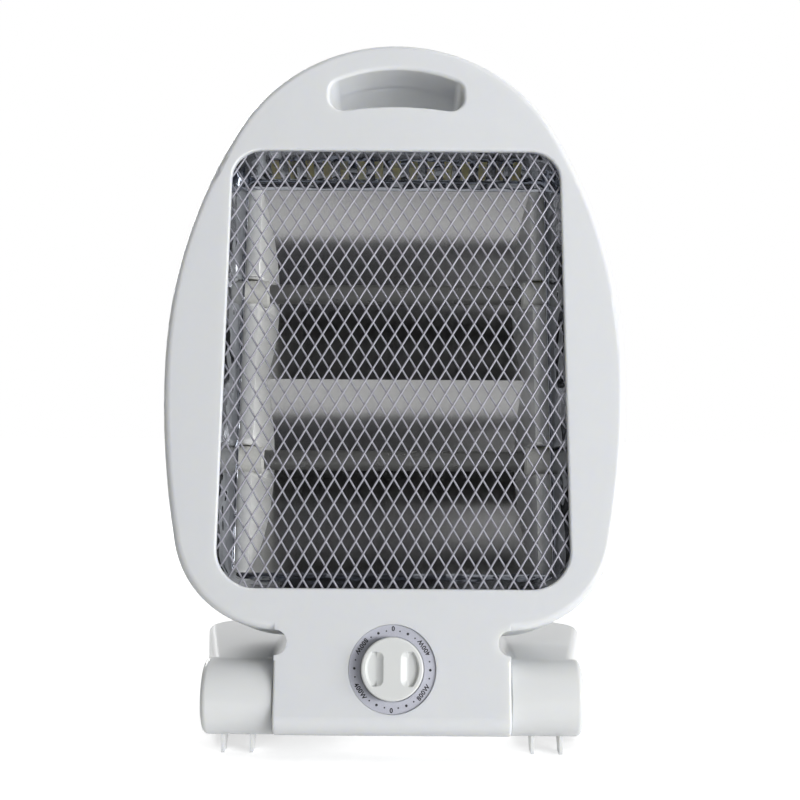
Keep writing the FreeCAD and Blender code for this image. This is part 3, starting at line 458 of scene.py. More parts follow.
class Mesher:
    """Gathers vertices and faces in the body's axes and makes a piece of them."""

    def __init__(self) -> None:
        """Start with nothing."""
        self.points: List[Vector] = []
        self.faces: Faces = []

    def ring(self, points: Iterable[Vector]) -> List[int]:
        """Add points and give their numbers.

        Args:
            points: Places in the body's axes.

        Returns:
            Number of each point.
        """
        start = len(self.points)
        self.points.extend(points)
        return list(range(start, len(self.points)))

    def skin(self, rings: Sequence[Sequence[int]], closed: bool = True,
             flipped: bool = False) -> None:
        """Join a row of rings, each to the next, with four-sided faces.

        Args:
            rings: Numbers of each ring's points, as many in every ring.
            closed: Whether each ring's last point joins its first.
            flipped: Whether the faces look the other way.
        """
        for pair in zip(rings, rings[1:]):
            first, second = reversed(pair) if flipped else pair
            count = len(first)
            for step in range(count if closed else count - 1):
                after = (step + 1) % count
                self.faces.append((first[step], first[after], second[after], second[step]))

    def cap(self, rings: Sequence[Sequence[int]]) -> None:
        """Close the first and the last of a row of rings."""
        self.faces.append(tuple(reversed(rings[0])))
        self.faces.append(tuple(rings[-1]))

    def tube(self, path: Sequence[Vector], radius: float, sides: int) -> None:
        """Sweep a round section along a path and close its ends.

        Args:
            path: Points of the centre line.
            radius: Radius of the section.
            sides: Number of sides of the section.
        """
        tangent = (path[1] - path[0]).normalized()
        normal = tangent.orthogonal().normalized()
        rings: List[List[int]] = []
        for place, point in enumerate(path):
            before = path[max(place - 1, 0)]
            after = path[min(place + 1, len(path) - 1)]
            tangent = (after - before).normalized()
            normal = (normal - tangent * normal.dot(tangent)).normalized()
            side = tangent.cross(normal)
            rings.append(self.ring(
                point + normal * (radius * math.cos(turn)) + side * (radius * math.sin(turn))
                for turn in circle(sides)))
        self.skin(rings)
        self.cap(rings)

    def piece(self, name: str, axes: BodyAxes, finish: bpy.types.Material,
              crease: float = SMOOTH_ALL, gauge: float = 0.0) -> bpy.types.Object:
        """Make a mesh object of what was gathered.

        Args:
            name: Name of the piece.
            axes: Axes that the points are in.
            finish: Material of the piece.
            crease: Angle in degrees above which an edge is shaded sharp.
            gauge: Thickness in millimetres of sheet behind the faces, or 0 for a closed skin.

        Returns:
            The new object, not yet riding on a body.
        """
        mesh = bpy.data.meshes.new(name)
        change = axes.matrix()
        mesh.from_pydata([change @ point for point in self.points], [], self.faces)
        mesh.validate()
        mesh.polygons.foreach_set("use_smooth", [True] * len(mesh.polygons))
        mesh.set_sharp_from_angle(angle=math.radians(crease))
        mesh.materials.append(finish)
        made = put(name, mesh)
        if gauge > 0.0:
            sheet = made.modifiers.new("gauge", "SOLIDIFY")
            sheet.thickness = gauge * MM
            sheet.offset = BEHIND_FACES
        return made


@dataclass
class SubAssembly:
    """Common ways to dress CAD nodes and hand over new pieces."""

    axes: BodyAxes
    finishes: Finishes

    def dress(self, finish: bpy.types.Material, *nodes: str) -> None:
        """Give CAD nodes a finish.

        Args:
            finish: Material for the nodes.
            nodes: Names of the nodes.
        """
        for name in nodes:
            mesh = frame["nodes"][name].data
            mesh.materials.clear()
            mesh.materials.append(finish)
            log.info("dressed %s with %s", name, finish.name)

    def hand_over(self, piece: bpy.types.Object, rider: Rider, slot: Slot,
                  *stands_for: str) -> None:
        """Let a new piece ride on its body and stand for CAD nodes.

        Args:
            piece: The new piece.
            rider: Body that it rides on.
            slot: Material slot named for the piece; not used.
            stands_for: CAD nodes that it replaces.
        """
        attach(piece, rider.value)
        if stands_for:
            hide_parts(*stands_for)
        log.info("built %s on %s", piece.name, rider.value)


@dataclass
class Shell(SubAssembly):
    """Front shell, rear shell, their screws and the cord's inlet bush."""

    def build(self) -> None:
        """Dress the shells."""
        self.dress(self.finishes.shell, "front_bezel")
        self.dress(self.finishes.rear, "rear_cover")
        self.dress(self.finishes.steel, "cover_screws")
        self.dress(self.finishes.inner, "cord_gland")


@dataclass
class Guard(SubAssembly):
    """Domed diamond guard of crossed wires, in millimetres of the body's axes."""

    pitch_across: float = 7.6
    pitch_up: float = 12.75
    wire_radius: float = 0.5
    layer_gap: float = 0.7
    window_half: float = 89.7
    window_low: float = 52.5
    window_high: float = 291.2
    low_radius: float = 20.0
    high_radius: float = 16.5
    edge_gap: float = 0.1
    front: float = -21.0
    proud: float = 5.0
    edge_drop: float = 7.4
    steps: int = 28
    sides: int = 8
    tries: int = 3000

    def middle(self) -> float:
        """Height of the window's middle."""
        return (self.window_low + self.window_high) / 2.0

    def half_height(self) -> float:
        """Half of the window's height."""
        return (self.window_high - self.window_low) / 2.0

    def depth(self, x: float, z: float) -> float:
        """Depth of the dome's front at a place of the front view.

        Args:
            x: Place across.
            z: Place up the body.

        Returns:
            Depth in the body's axes.
        """
        across = 1.0 - (x / self.window_half) ** 2
        upward = 1.0 - ((z - self.middle()) / self.half_height()) ** 2
        return self.front - self.proud + self.edge_drop * (1.0 - across * upward)

    def inside(self, x: float, z: float) -> bool:
        """Tell whether a place of the front view is within the guard's edge.

        Args:
            x: Place across.
            z: Place up the body.

        Returns:
            True within the edge.
        """
        half = self.window_half + self.edge_gap
        low = self.window_low - self.edge_gap
        high = self.window_high + self.edge_gap
        radius = self.low_radius if z < self.middle() else self.high_radius
        past_x = abs(x) - (half - radius)
        past_z = max(low + radius - z, z - (high - radius))
        if past_x > 0.0 and past_z > 0.0:
            return math.hypot(past_x, past_z) < radius
        return abs(x) < half and low < z < high

    def span(self, start: float, run: Vector) -> Optional[Span]:
        """Find where a slanted wire enters and leaves the guard's edge.

        Args:
            start: Place of the wire on the window's middle line.
            run: Direction of the wire in the front view.

        Returns:
            Distances along the wire, or None if it misses the window.
        """
        reach = 2.0 * self.half_height()
        tries = [reach * (2.0 * step / self.tries - 1.0) for step in range(self.tries + 1)]
        within = [s for s in tries if self.inside(start + s * run.x, self.middle() + s * run.z)]
        if not within or within[-1] - within[0] < self.pitch_across:
            return None
        return within[0], within[-1]

    def wire(self, start: float, run: Vector, shift: float, mesher: Mesher) -> None:
        """Lay one wire over the dome.

        Args:
            start: Place of the wire on the window's middle line.
            run: Direction of the wire in the front view.
            shift: Depth of the wire's layer behind the dome's front.
            mesher: Mesh that takes the wire.
        """
        ends = self.span(start, run)
        if ends is None:
            return
        path = []
        for step in range(self.steps + 1):
            along = ends[0] + (ends[1] - ends[0]) * step / self.steps
            x = start + along * run.x
            z = self.middle() + along * run.z
            path.append(Vector((x, self.depth(x, z) + shift, z)))
        mesher.tube(path, self.wire_radius, self.sides)

    def build(self) -> None:
        """Lay both layers of wires."""
        mesher = Mesher()
        reach = self.window_half + self.half_height() * self.pitch_across / self.pitch_up
        count = int(reach / self.pitch_across)
        for layer, sign in enumerate((1.0, -1.0)):
            run = Vector((sign * self.pitch_across, 0.0, self.pitch_up)).normalized()
            shift = self.wire_radius + layer * self.layer_gap
            for step in range(-count, count + 1):
                self.wire(step * self.pitch_across, run, shift, mesher)
        piece = mesher.piece("guard_wires", self.axes, self.finishes.guard)
        self.hand_over(piece, Rider.HOUSING, Slot.GUARD, "guard_mesh")


@dataclass
class SheetBox(SubAssembly):
    """Foil-bright sheet box, drawn in to the reflector and vented at its top, in millimetres."""

    front: float = -18.5
    rear: float = 7.0
    gauge: float = 0.6
    front_half: float = 90.5
    front_low: float = 51.7
    front_high: float = 292.0
    front_low_radius: float = 20.8
    front_high_radius: float = 17.3
    rear_half: float = 85.0
    rear_low: float = 60.8
    rear_high: float = 284.6
    rear_radius: float = 6.0
    rim: float = 3.5
    opening_half: float = 83.9
    opening_low: float = 62.7
    opening_high: float = 279.3
    corner_steps: int = 10
    vent_count: int = 15
    vent_pitch: float = 9.7
    vent_width: float = 4.6
    vent_from: float = 0.3
    vent_to: float = 0.9

    def vents(self) -> List[float]:
        """Places across of the vents' edges, from right to left."""
        middle = (self.vent_count - 1) / 2.0
        return [(middle - step) * self.vent_pitch + side * self.vent_width / 2.0
                for step in range(self.vent_count) for side in (1.0, -1.0)]

    def corner(self, x: float, z: float, radius: float, quarter: int) -> List[Point]:
        """Round one corner of an outline.

        Args:
            x: Centre of the corner across.
            z: Centre of the corner upward.
            radius: Radius of the corner.
            quarter: Number of quarter turns at which it starts.

        Returns:
            Points of the corner in the front view.
        """
        turns = [math.pi / 2.0 * (quarter + step / self.corner_steps)
                 for step in range(self.corner_steps + 1)]
        return [(x + radius * math.cos(turn), 0.0, z + radius * math.sin(turn)) for turn in turns]

    def outline(self, half: float, low: float, high: float, low_radius: float,
                high_radius: float) -> List[Point]:
        """Draw a rounded outline whose top edge has a point at each vent's edge.

        Args:
            half: Half of its width.
            low: Height of its bottom edge.
            high: Height of its top edge.
            low_radius: Radius of its lower corners.
            high_radius: Radius of its upper corners.

        Returns:
            Points of the outline in the front view.
        """
        return (self.corner(half - low_radius, low + low_radius, low_radius, 3)
                + self.corner(half - high_radius, high - high_radius, high_radius, 0)
                + [(x, 0.0, high) for x in self.vents()]
                + self.corner(high_radius - half, high - high_radius, high_radius, 1)
                + self.corner(low_radius - half, low + low_radius, low_radius, 2))

    def build(self) -> None:
        """Fold the box from its rim, its four drawn-in walls and the ledge round the reflector."""
        rim, front = (
            self.outline(self.front_half + grown, self.front_low - grown, self.front_high + grown,
                         self.front_low_radius + grown, self.front_high_radius + grown)
            for grown in (self.rim, 0.0))
        rear = self.outline(self.rear_half, self.rear_low, self.rear_high,
                            self.rear_radius, self.rear_radius)
        opening = [(min(max(x, -self.opening_half), self.opening_half), 0.0,
                    min(max(z, self.opening_low), self.opening_high)) for x, _, z in rear]
        mesher = Mesher()
        rows = [mesher.ring(Vector((x, self.front, z)) for x, _, z in rim)]
        for share in (0.0, self.vent_from, self.vent_to, 1.0):
            places = [Vector(first).lerp(Vector(last), share) for first, last in zip(front, rear)]
            depth = self.front + (self.rear - self.front) * share
            rows.append(mesher.ring(Vector((place.x, depth, place.z)) for place in places))
        rows.append(mesher.ring(Vector((x, self.rear, z)) for x, _, z in opening))
        mesher.skin(rows, flipped=True)
        # Two whole rows of faces and two rounded corners come before the first vent.
        first_vent = 2 * len(front) + 2 * (self.corner_steps + 1)
        cut = {first_vent + 2 * step for step in range(self.vent_count)}
        mesher.faces = [face for number, face in enumerate(mesher.faces) if number not in cut]
        piece = mesher.piece("sheet_box", self.axes, self.finishes.box, SHARP_EDGE, self.gauge)
        self.hand_over(piece, Rider.HOUSING, Slot.SHEET, "reflector_housing")


@dataclass
class TroughEnds(SubAssembly):
    """Slanted cheeks that close both troughs, notched round each tube's cap, in millimetres."""

    outer: float = 84.5
    fold: float = 76.5
    slant: float = 0.314
    gauge: float = 0.4
    lip: float = 7.2
    floor: float = 36.0
    low: float = 62.1
    high: float = 279.9
    ridge_depth: float = 21.0
    ridge_height: float = 171.85
    tube_depth: float = TUBE_DEPTH
    tube_heights: Span = (LOWER_TUBE, UPPER_TUBE)
    notch: float = 7.8
    seam: float = 0.15
    columns: int = 24

    def arc_depth(self, z: float, height: float, end: float) -> float:
        """Depth of the trough's arc through its ridge, its floor and its lip.

        Args:
            z: Place up the body.
            height: Height of the trough's floor.
            end: Height of the trough's lip.

        Returns:
            Depth of the sheet's face.
        """
        points = ((self.ridge_height, self.ridge_depth), (height, self.floor), (end, self.lip))
        (z1, y1), (z2, y2), (z3, y3) = points
        first = (z2 * z2 + y2 * y2 - z1 * z1 - y1 * y1) / 2.0
        second = (z3 * z3 + y3 * y3 - z2 * z2 - y2 * y2) / 2.0
        cross = (z2 - z1) * (y3 - y2) - (z3 - z2) * (y2 - y1)
        centre_z = (first * (y3 - y2) - second * (y2 - y1)) / cross
        centre_y = (second * (z2 - z1) - first * (z3 - z2)) / cross
        radius = math.hypot(z1 - centre_z, y1 - centre_y)
        return centre_y + math.sqrt(max(radius * radius - (z - centre_z) ** 2, 0.0))

    def depth(self, z: float) -> float:
        """Depth of the cheek's rear edge at a height.

        Args:
            z: Place up the body.

        Returns:
            Depth in the body's axes.
        """
        lower = z < self.ridge_height
        height = self.tube_heights[0 if lower else 1]
        full = self.arc_depth(z, height, self.low if lower else self.high)
        return max(full - self.seam, self.lip)

    def on_slant(self, depth: float, z: float, sign: float) -> Vector:
        """Give a point of the slanted cheek.

        Args:
            depth: Depth of the point.
            z: Place up the body.
            sign: 1 on the right and -1 on the left.

        Returns:
            The point in the body's axes.
        """
        return Vector((sign * (self.fold - self.slant * (depth - self.lip)), depth, z))

    def band(self, start: float, end: float, notched: Optional[float], sign: float,
             mesher: Mesher) -> None:
        """Add one stretch of the cheek.

        Args:
            start: Height at which it starts.
            end: Height at which it ends.
            notched: Height of the tube that it goes round, or None beside the tubes.
            sign: 1 on the right and -1 on the left.
            mesher: Mesh that takes the stretch.
        """
        heights = [start + (end - start) * step / self.columns for step in range(self.columns + 1)]
        rows = []
        if notched is None:
            for x in (self.outer, self.fold):
                rows.append(mesher.ring(Vector((sign * x, self.lip, z)) for z in heights))
        else:
            edge = [self.tube_depth + math.sqrt(max(self.notch ** 2 - (z - notched) ** 2, 0.0))
                    for z in heights]
            rows.append(mesher.ring(
                self.on_slant(depth, z, sign) for depth, z in zip(edge, heights)))
        rows.append(mesher.ring(self.on_slant(self.depth(z), z, sign) for z in heights))
        mesher.skin(rows, closed=False, flipped=sign < 0.0)

    def saddle(self, z: float, sign: float, mesher: Mesher) -> None:
        """Add the tab that is folded in at a notch's edge.

        Args:
            z: Height of the notch's edge.
            sign: 1 on the right and -1 on the left.
            mesher: Mesh that takes the tab.
        """
        front = mesher.ring(Vector((sign * x, self.lip, z)) for x in (self.outer, self.fold))
        rear = mesher.ring((Vector((sign * self.outer, self.tube_depth, z)),
                            self.on_slant(self.tube_depth, z, sign)))
        mesher.skin((front, rear), closed=False)

    def build(self) -> None:
        """Fold both cheeks."""
        for side, sign in (("left", -1.0), ("right", 1.0)):
            mesher = Mesher()
            start = self.low
            for height in self.tube_heights:
                self.band(start, height - self.notch, None, sign, mesher)
                self.band(height - self.notch, height + self.notch, height, sign, mesher)
                self.saddle(height - self.notch - self.gauge, sign, mesher)
                self.saddle(height + self.notch + self.gauge, sign, mesher)
                start = height + self.notch
            self.band(start, self.high, None, sign, mesher)
            piece = mesher.piece(
                "trough_end_" + side, self.axes, self.finishes.cheek, SHARP_EDGE, self.gauge)
            self.hand_over(piece, Rider.HOUSING, Slot.SHEET, "reflector_end_" + side)


@dataclass
class Heater(SubAssembly):
    """Twin-trough reflector, quartz tubes and their wound elements, in millimetres."""

    coil_radius: float = 2.4
    wire_radius: float = 0.32
    half_length: float = 76.0
    turn_pitch: float = 2.1
    points_a_turn: int = 14
    wire_sides: int = 6
    depth: float = TUBE_DEPTH
    heights: Tuple[Tuple[str, float], ...] = (("upper", UPPER_TUBE), ("lower", LOWER_TUBE))

    def coil(self, level: str, height: float) -> None:
        """Wind one element inside its tube.

        Args:
            level: Name of the tube's level.
            height: Height of the tube's axis.
        """
        turns = int(2.0 * self.half_length / self.turn_pitch)
        count = turns * self.points_a_turn
        path = []
        for step in range(count + 1):
            turn = 2.0 * math.pi * step / self.points_a_turn
            x = -self.half_length + 2.0 * self.half_length * step / count
            y = self.depth + self.coil_radius * math.cos(turn)
            path.append(Vector((x, y, height + self.coil_radius * math.sin(turn))))
        mesher = Mesher()
        mesher.tube(path, self.wire_radius, self.wire_sides)
        piece = mesher.piece("wound_element_" + level, self.axes, self.finishes.coil)
        self.hand_over(piece, Rider.HOUSING, Slot.STEEL, "heating_coil_" + level)

    def build(self) -> None:
        """Dress the reflector and the tubes, and wind the elements."""
        self.dress(self.finishes.sheet, "reflector")
        self.dress(self.finishes.steel, "tube_terminals")
        self.dress(self.finishes.ceramic, "jumper_wire")
        self.dress(self.finishes.inner, "thermal_cutout", "tip_over_switch", "terminal_block")
        for level, height in self.heights:
            self.dress(self.finishes.quartz, "quartz_tube_" + level)
            for side in ("left", "right"):
                self.dress(self.finishes.ceramic, "ceramic_cap_" + level + "_" + side)
            self.coil(level, height)


class Mark(Enum):
    """Words on the dial's printed ring."""

    OFF = "0"
    LOW = "400W"
    HIGH = "800W"


@dataclass
class Dial(SubAssembly):
    """Printed ring, selector knob and the rotary switch behind them, in millimetres."""

    centre_z: float = 13.1
    ring_front: float = -20.0
    ring_turn: float = 1.0
    word_radius: float = 19.0
    word_turn: float = 55.0
    off_radius: float = 19.9
    dot_radius: float = 18.8
    dot_turns: Tuple[float, ...] = (23.0, 90.0)
    dot_spread: float = 12.6
    letter_size: float = 3.2
    letter_bold: float = 0.1
    letter_gap: float = 1.1
    ink_height: float = 0.06
    big_dot: float = 0.66
    small_dot: float = 0.4
    dot_sides: int = 20
    knob_radius: float = 15.4
    knob_back: float = -19.5
    knob_length: float = 7.5
    rim_round: float = 1.0
    bar_half: float = 4.3
    bar_blend: float = 4.2
    wall_blend: float = 1.0
    scoop_deep: float = 2.2
    scoop_reach: float = 13.3
    scoop_half_height: float = 8.6
    scoop_corner: float = 3.4
    rings: int = 90
    spokes: int = 240

    def on_ring(self, radius: float, turn: float) -> Matrix:
        """Give the place of a mark, its top towards the dial's centre.

        Args:
            radius: Distance from the dial's centre.
            turn: Angle clockwise from the top, in degrees.

        Returns:
            Change from the mark's own plane to the body's axes.
        """
        centre = Matrix.Translation((0.0, self.ring_front - self.ink_height / 2.0, self.centre_z))
        stand = Matrix.Rotation(math.pi / 2.0, 4, "X")
        spin = Matrix.Rotation(-math.radians(turn + self.ring_turn), 4, "Z")
        place = centre @ stand @ spin @ Matrix.Translation((0.0, radius, 0.0))
        return place @ Matrix.Rotation(math.pi, 4, "Z")

    def letters(self, text: str, place: Matrix, mesher: Mesher) -> None:
        """Add the raised ink of a word.

        Args:
            text: Word to print.
            place: Change to the body's axes.
            mesher: Mesh that takes the ink.
        """
        data = bpy.data.curves.new("mark", "FONT")
        data.body = text
        data.size = self.letter_size
        data.offset = self.letter_bold
        data.space_character = self.letter_gap
        data.align_x = "CENTER"
        data.align_y = "CENTER"
        data.extrude = self.ink_height / 2.0
        word = put("mark", data)
        bpy.context.view_layer.update()
        graph = bpy.context.evaluated_depsgraph_get()
        mesh = bpy.data.meshes.new_from_object(word.evaluated_get(graph))
        numbers = mesher.ring(place @ vertex.co for vertex in mesh.vertices)
        mesher.faces.extend(
            tuple(numbers[at] for at in polygon.vertices) for polygon in mesh.polygons)
        bpy.data.objects.remove(word)
        bpy.data.curves.remove(data)
        bpy.data.meshes.remove(mesh)

    def dot(self, radius: float, place: Matrix, mesher: Mesher) -> None:
        """Add a round dot of ink.

        Args:
            radius: Radius of the dot.
            place: Change to the body's axes.
            mesher: Mesh that takes the dot.
        """
        rings = []
        for level in (-self.ink_height / 2.0, self.ink_height / 2.0):
            rings.append(mesher.ring(
                place @ Vector((radius * math.cos(turn), radius * math.sin(turn), level))
                for turn in circle(self.dot_sides)))
        mesher.skin(rings)
        mesher.faces.append(tuple(rings[1]))

    def print_marks(self) -> None:
        """Print the words and dots of the ring."""
        mesher = Mesher()
        near, aside = self.dot_turns
        words = ((Mark.OFF, self.off_radius, 0.0), (Mark.LOW, self.word_radius, self.word_turn),
                 (Mark.HIGH, self.word_radius, HALF_TURN - self.word_turn))
        for start in (0.0, HALF_TURN):
            for mark, radius, turn in words:
                self.letters(mark.value, self.on_ring(radius, start + turn), mesher)
            for turn in (start - near, start + near, start + aside):
                self.dot(self.big_dot, self.on_ring(self.dot_radius, turn), mesher)
                for side in (-self.dot_spread, self.dot_spread):
                    self.dot(self.small_dot, self.on_ring(self.dot_radius, turn + side), mesher)
        piece = mesher.piece("dial_marks", self.axes, self.finishes.ink, SHARP_EDGE)
        self.hand_over(piece, Rider.HOUSING, Slot.DIAL)

    def scoop_depth(self, x: float, z: float) -> float:
        """Depth of the finger scoops: hollow beside the bar and flat out to the rim.

        Args:
            x: Place across from the knob's axis.
            z: Place up from the knob's axis.

        Returns:
            Depth in millimetres, 0 outside the scoops.
        """
        from_bar = abs(x) - self.bar_half
        from_rim = self.scoop_reach - math.hypot(x, z)
        from_end = self.scoop_half_height - abs(z)
        corner_x = self.scoop_corner - from_bar
        corner_z = self.scoop_corner - from_end
        bar_edge = from_bar
        if corner_x > 0.0 and corner_z > 0.0:
            bar_edge = self.scoop_corner - math.hypot(corner_x, corner_z)
        hollow = min(max(bar_edge / self.bar_blend, 0.0), 1.0)
        outer = min(max(min(from_rim, from_end) / self.wall_blend, 0.0), 1.0)
        eased = outer * outer * (3.0 - 2.0 * outer)
        return self.scoop_deep * (1.0 - (1.0 - hollow) ** 2) * eased

    def knob_height(self, x: float, z: float) -> float:
        """Height of the knob's face over its back.

        Args:
            x: Place across from the knob's axis.
            z: Place up from the knob's axis.

        Returns:
            Height in millimetres.
        """
        past = max(math.hypot(x, z) - self.knob_radius + self.rim_round, 0.0)
        drop = self.rim_round - math.sqrt(max(self.rim_round ** 2 - past ** 2, 0.0))
        return self.knob_length - self.scoop_depth(x, z) - drop

    def knob(self) -> None:
        """Form the knob as one turned and scooped skin."""
        mesher = Mesher()
        rings: List[List[int]] = []
        for step in range(1, self.rings + 1):
            radius = self.knob_radius * math.sin(0.5 * math.pi * step / self.rings)
            points = []
            for turn in circle(self.spokes):
                x = radius * math.cos(turn)
                z = radius * math.sin(turn)
                y = self.knob_back - self.knob_height(x, z)
                points.append(Vector((x, y, self.centre_z + z)))
            rings.append(mesher.ring(points))
        rings.append(mesher.ring(Vector((point.x, self.knob_back, point.z)) for point in points))
        mesher.skin(rings)
        mesher.cap(rings)
        piece = mesher.piece("scooped_knob", self.axes, self.finishes.knob)
        self.hand_over(piece, Rider.KNOB, Slot.KNOB, "knob")

    def build(self) -> None:
        """Dress the switch, print the ring and form the knob."""
        self.dress(self.finishes.dial, "dial_ring")
        self.dress(self.finishes.inner, "switch_body")
        self.dress(self.finishes.steel, "switch_nut", "switch_shaft")
        self.print_marks()
        self.knob()


@dataclass
class Feet(SubAssembly):
    """Folding feet, their pivot pins and rubber pads."""

    def build(self) -> None:
        """Dress the feet."""
        self.dress(self.finishes.foot, "foot_left", "foot_right")
        self.dress(self.finishes.rubber, "foot_pad_left", "foot_pad_right")
        self.dress(self.finishes.steel, "pivot_pin_left", "pivot_pin_right")


@dataclass(frozen=True)
class SoftLamp:
    """One soft studio lamp."""

    name: str
    place: Point
    aim: Point
    width: float
    height: float
    power: float
    mirrored: bool = True

    def build(self) -> None:
        """Hang the lamp."""
        data = bpy.data.lights.new(self.name, "AREA")
        data.shape = "RECTANGLE"
        data.size = self.width
        data.size_y = self.height
        data.energy = self.power
        lamp = put(self.name, data)
        lamp.location = self.place
        lamp.rotation_mode = "QUATERNION"
        lamp.rotation_quaternion = (Vector(self.aim) - Vector(self.place)).to_track_quat("-Z", "Y")
        lamp.visible_glossy = self.mirrored
        log.info("hung %s", self.name)


@dataclass
class Studio:
    """White floor and surroundings, soft lamps, dark screens behind the camera, and the camera."""

    axes: BodyAxes
    floor_half: float = 30.0
    floor_tone: float = 0.9
    floor_near: float = 0.7
    floor_far: float = 1.6
    ambient: float = 0.08
    floor_lift: float = 0.6
    screen_half: float = 1.5
    screen_front: float = -1.4
    screen_rear: float = 0.25
    screen_edge: float = 0.12
    screen_end: float = 1.0
    ceiling_edge: float = 0.06
    apron_rear: float = -0.55
    apron_height: float = 0.002
    screen_height: float = 1.5
    screen_tone: float = 0.07
    wing_tone: float = 0.8
    cloth_roughness: float = 0.9
    camera_place: Point = (3.05, -618.5, 4.3)
    camera_tilt: float = 1.7
    camera_roll: float = -0.38
    lens: float = 53.1
    sensor: float = 36.0
    lamps: Tuple[SoftLamp, ...] = (
        SoftLamp("key_lamp", (2.6, -1.7, 0.45), (0.0, 0.0, 0.18), 2.0, 0.8, 62.0),
        SoftLamp("front_lamp", (1.45, -2.15, 0.26), (0.0, 0.0, 0.2), 1.4, 0.5, 36.0, False),
        SoftLamp("top_lamp", (0.2, -0.1, 1.5), (0.0, 0.0, 0.2), 1.2, 1.2, 5.0, False),
        SoftLamp("back_lamp", (-0.8, 1.3, 0.9), (0.0, 0.1, 0.1), 0.8, 0.8, 14.0),
    )

    def surroundings(self) -> None:
        """Set the white world."""
        world = bpy.data.worlds.new("white_room")
        bpy.context.scene.world = world
        tree = Tree(world)
        soft = tree.node("Background", ("Color", WHITE), ("Strength", self.ambient))
        seen = tree.node("Background", ("Color", WHITE))
        mix = tree.node("MixShader")
        output = tree.node("OutputWorld")
        tree.link(tree.seen_directly(), mix.inputs["Fac"])
        tree.link(soft.outputs["Background"], mix.inputs[1])
        tree.link(seen.outputs["Background"], mix.inputs[2])
        tree.link(mix.outputs["Shader"], output.inputs["Surface"])

    def plane(self, name: str, corners: Sequence[Point]) -> bpy.types.Object:
        """Make a flat stage piece.

        Args:
            name: Name of the piece.
            corners: Its corners in order.

        Returns:
            The new piece.
        """
        mesh = bpy.data.meshes.new(name)
        mesh.from_pydata([Vector(corner) for corner in corners], [], [tuple(range(len(corners)))])
        made = put(name, mesh)
        return made

    def upright(self, left: float, right: float) -> List[Point]:
        """Corners of an upright screen between two places across."""
        front, top = self.screen_front, self.screen_height
        return [(left, front, 0.0), (right, front, 0.0), (right, front, top), (left, front, top)]

    def level(self, left: Span, right: Span, ends: Span, height: float) -> List[Point]:
        """Lay out the corners of a level piece.

        Args:
            left: Places across of its left corners, front and rear.
            right: Places across of its right corners, front and rear.
            ends: Depths of its front and rear edges.
            height: Height that it lies at.

        Returns:
            Its corners in order.
        """
        return [(left[0], ends[0], height), (right[0], ends[0], height),
                (right[1], ends[1], height), (left[1], ends[1], height)]

    def floor(self) -> None:
        """Lay the pale floor, which keeps the heater's shadow and is white far away."""
        half = self.floor_half
        made = self.plane("floor", self.level((-half, -half), (half, half), (-half, half), 0.0))
        material = bpy.data.materials.new("pale_floor")
        tree = Tree(material)
        matte = tree.node("BsdfDiffuse", ("Color", (*[self.floor_tone] * 3, 1.0)))
        place = tree.node("TexCoord")
        length = tree.node("VectorMath")
        length.operation = "LENGTH"
        limits = (self.floor_near, self.floor_far, self.floor_lift, 1.0)
        fade = tree.node("MapRange", *zip(RANGE, limits))
        lift = tree.node("Emission", ("Color", WHITE))
        total = tree.node("AddShader")
        output = tree.node("OutputMaterial")
        tree.link(place.outputs["Object"], length.inputs[0])
        tree.link(length.outputs["Value"], fade.inputs["Value"])
        strength = tree.math("MULTIPLY", tree.seen_directly(), fade.outputs["Result"])
        tree.link(strength, lift.inputs["Strength"])
        tree.link(matte.outputs["BSDF"], total.inputs[0])
        tree.link(lift.outputs["Emission"], total.inputs[1])
        tree.link(total.outputs["Shader"], output.inputs["Surface"])
        made.data.materials.append(material)

    def cloth(self, name: str, tone: float) -> bpy.types.Material:
        """Make the dull cloth of a screen.

        Args:
            name: Name of the material.
            tone: Grey of the cloth.

        Returns:
            The material.
        """
        material = bpy.data.materials.new(name)
        material.use_nodes = True
        shader = material.node_tree.nodes["Principled BSDF"]
        shader.inputs["Base Color"].default_value = (*[tone] * 3, 1.0)
        shader.inputs["Roughness"].default_value = self.cloth_roughness
        return material

    def dark_side(self) -> None:
        """Set dark and grey screens on the camera's side, which only mirrors see."""
        half, edge, top = self.screen_half, self.screen_edge, self.screen_height
        left, right, seam = (-half, -half), (half, half), (edge, self.ceiling_edge)
        overhead = (self.screen_front, self.screen_rear)
        underfoot = (self.screen_front, self.apron_rear)
        dark = self.cloth("dark_screen_cloth", self.screen_tone)
        grey = self.cloth("grey_wing_cloth", self.wing_tone)
        corners = {
            "dark_screen": (dark, self.upright(-half, edge)),
            "grey_wing": (grey, self.upright(edge, self.screen_end)),
            "dark_ceiling": (dark, self.level(left, seam, overhead, top)),
            "grey_ceiling": (grey, self.level(seam, right, overhead, top)),
            "dark_apron": (dark, self.level(left, right, underfoot, self.apron_height)),
        }
        for name, (material, places) in corners.items():
            made = self.plane(name, places)
            made.data.materials.append(material)
            made.visible_camera = False
            made.visible_diffuse = False
            made.visible_transmission = False
            made.visible_shadow = False

    def camera(self) -> None:
        """Set the camera at the photograph's viewing angle."""
        data = bpy.data.cameras.new("photo_camera")
        data.lens = self.lens
        data.sensor_width = self.sensor
        made = put("photo_camera", data)
        made.location = self.axes.matrix() @ Vector(self.camera_place)
        tilt = math.radians(QUARTER_TURN + self.camera_tilt)
        made.rotation_euler = (tilt, math.radians(self.camera_roll), 0.0)
        bpy.context.scene.camera = made

    def build(self) -> None:
        """Set the stage."""
        bpy.context.scene.view_settings.view_transform = "Standard"
        self.surroundings()
        self.floor()
        self.dark_side()
        for lamp in self.lamps:
            lamp.build()
        self.camera()
        log.info("set the studio")


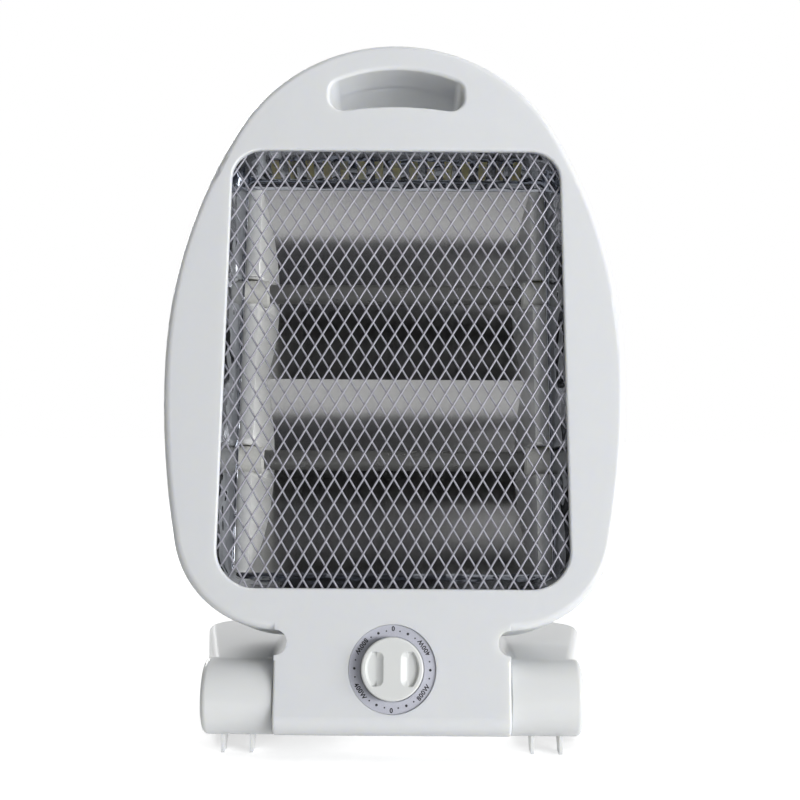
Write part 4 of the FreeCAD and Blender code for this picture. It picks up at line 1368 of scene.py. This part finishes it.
def main() -> None:
    """Build every sub-assembly in order and set the stage."""
    logging.basicConfig(level=logging.INFO, format="%(name)s: %(message)s")
    axes = BodyAxes()
    finishes = Finishes()
    for assembly in (Shell, Guard, SheetBox, TroughEnds, Heater, Dial, Feet):
        assembly(axes, finishes).build()
    Studio(axes).build()


if __name__ == "__main__":
    main()
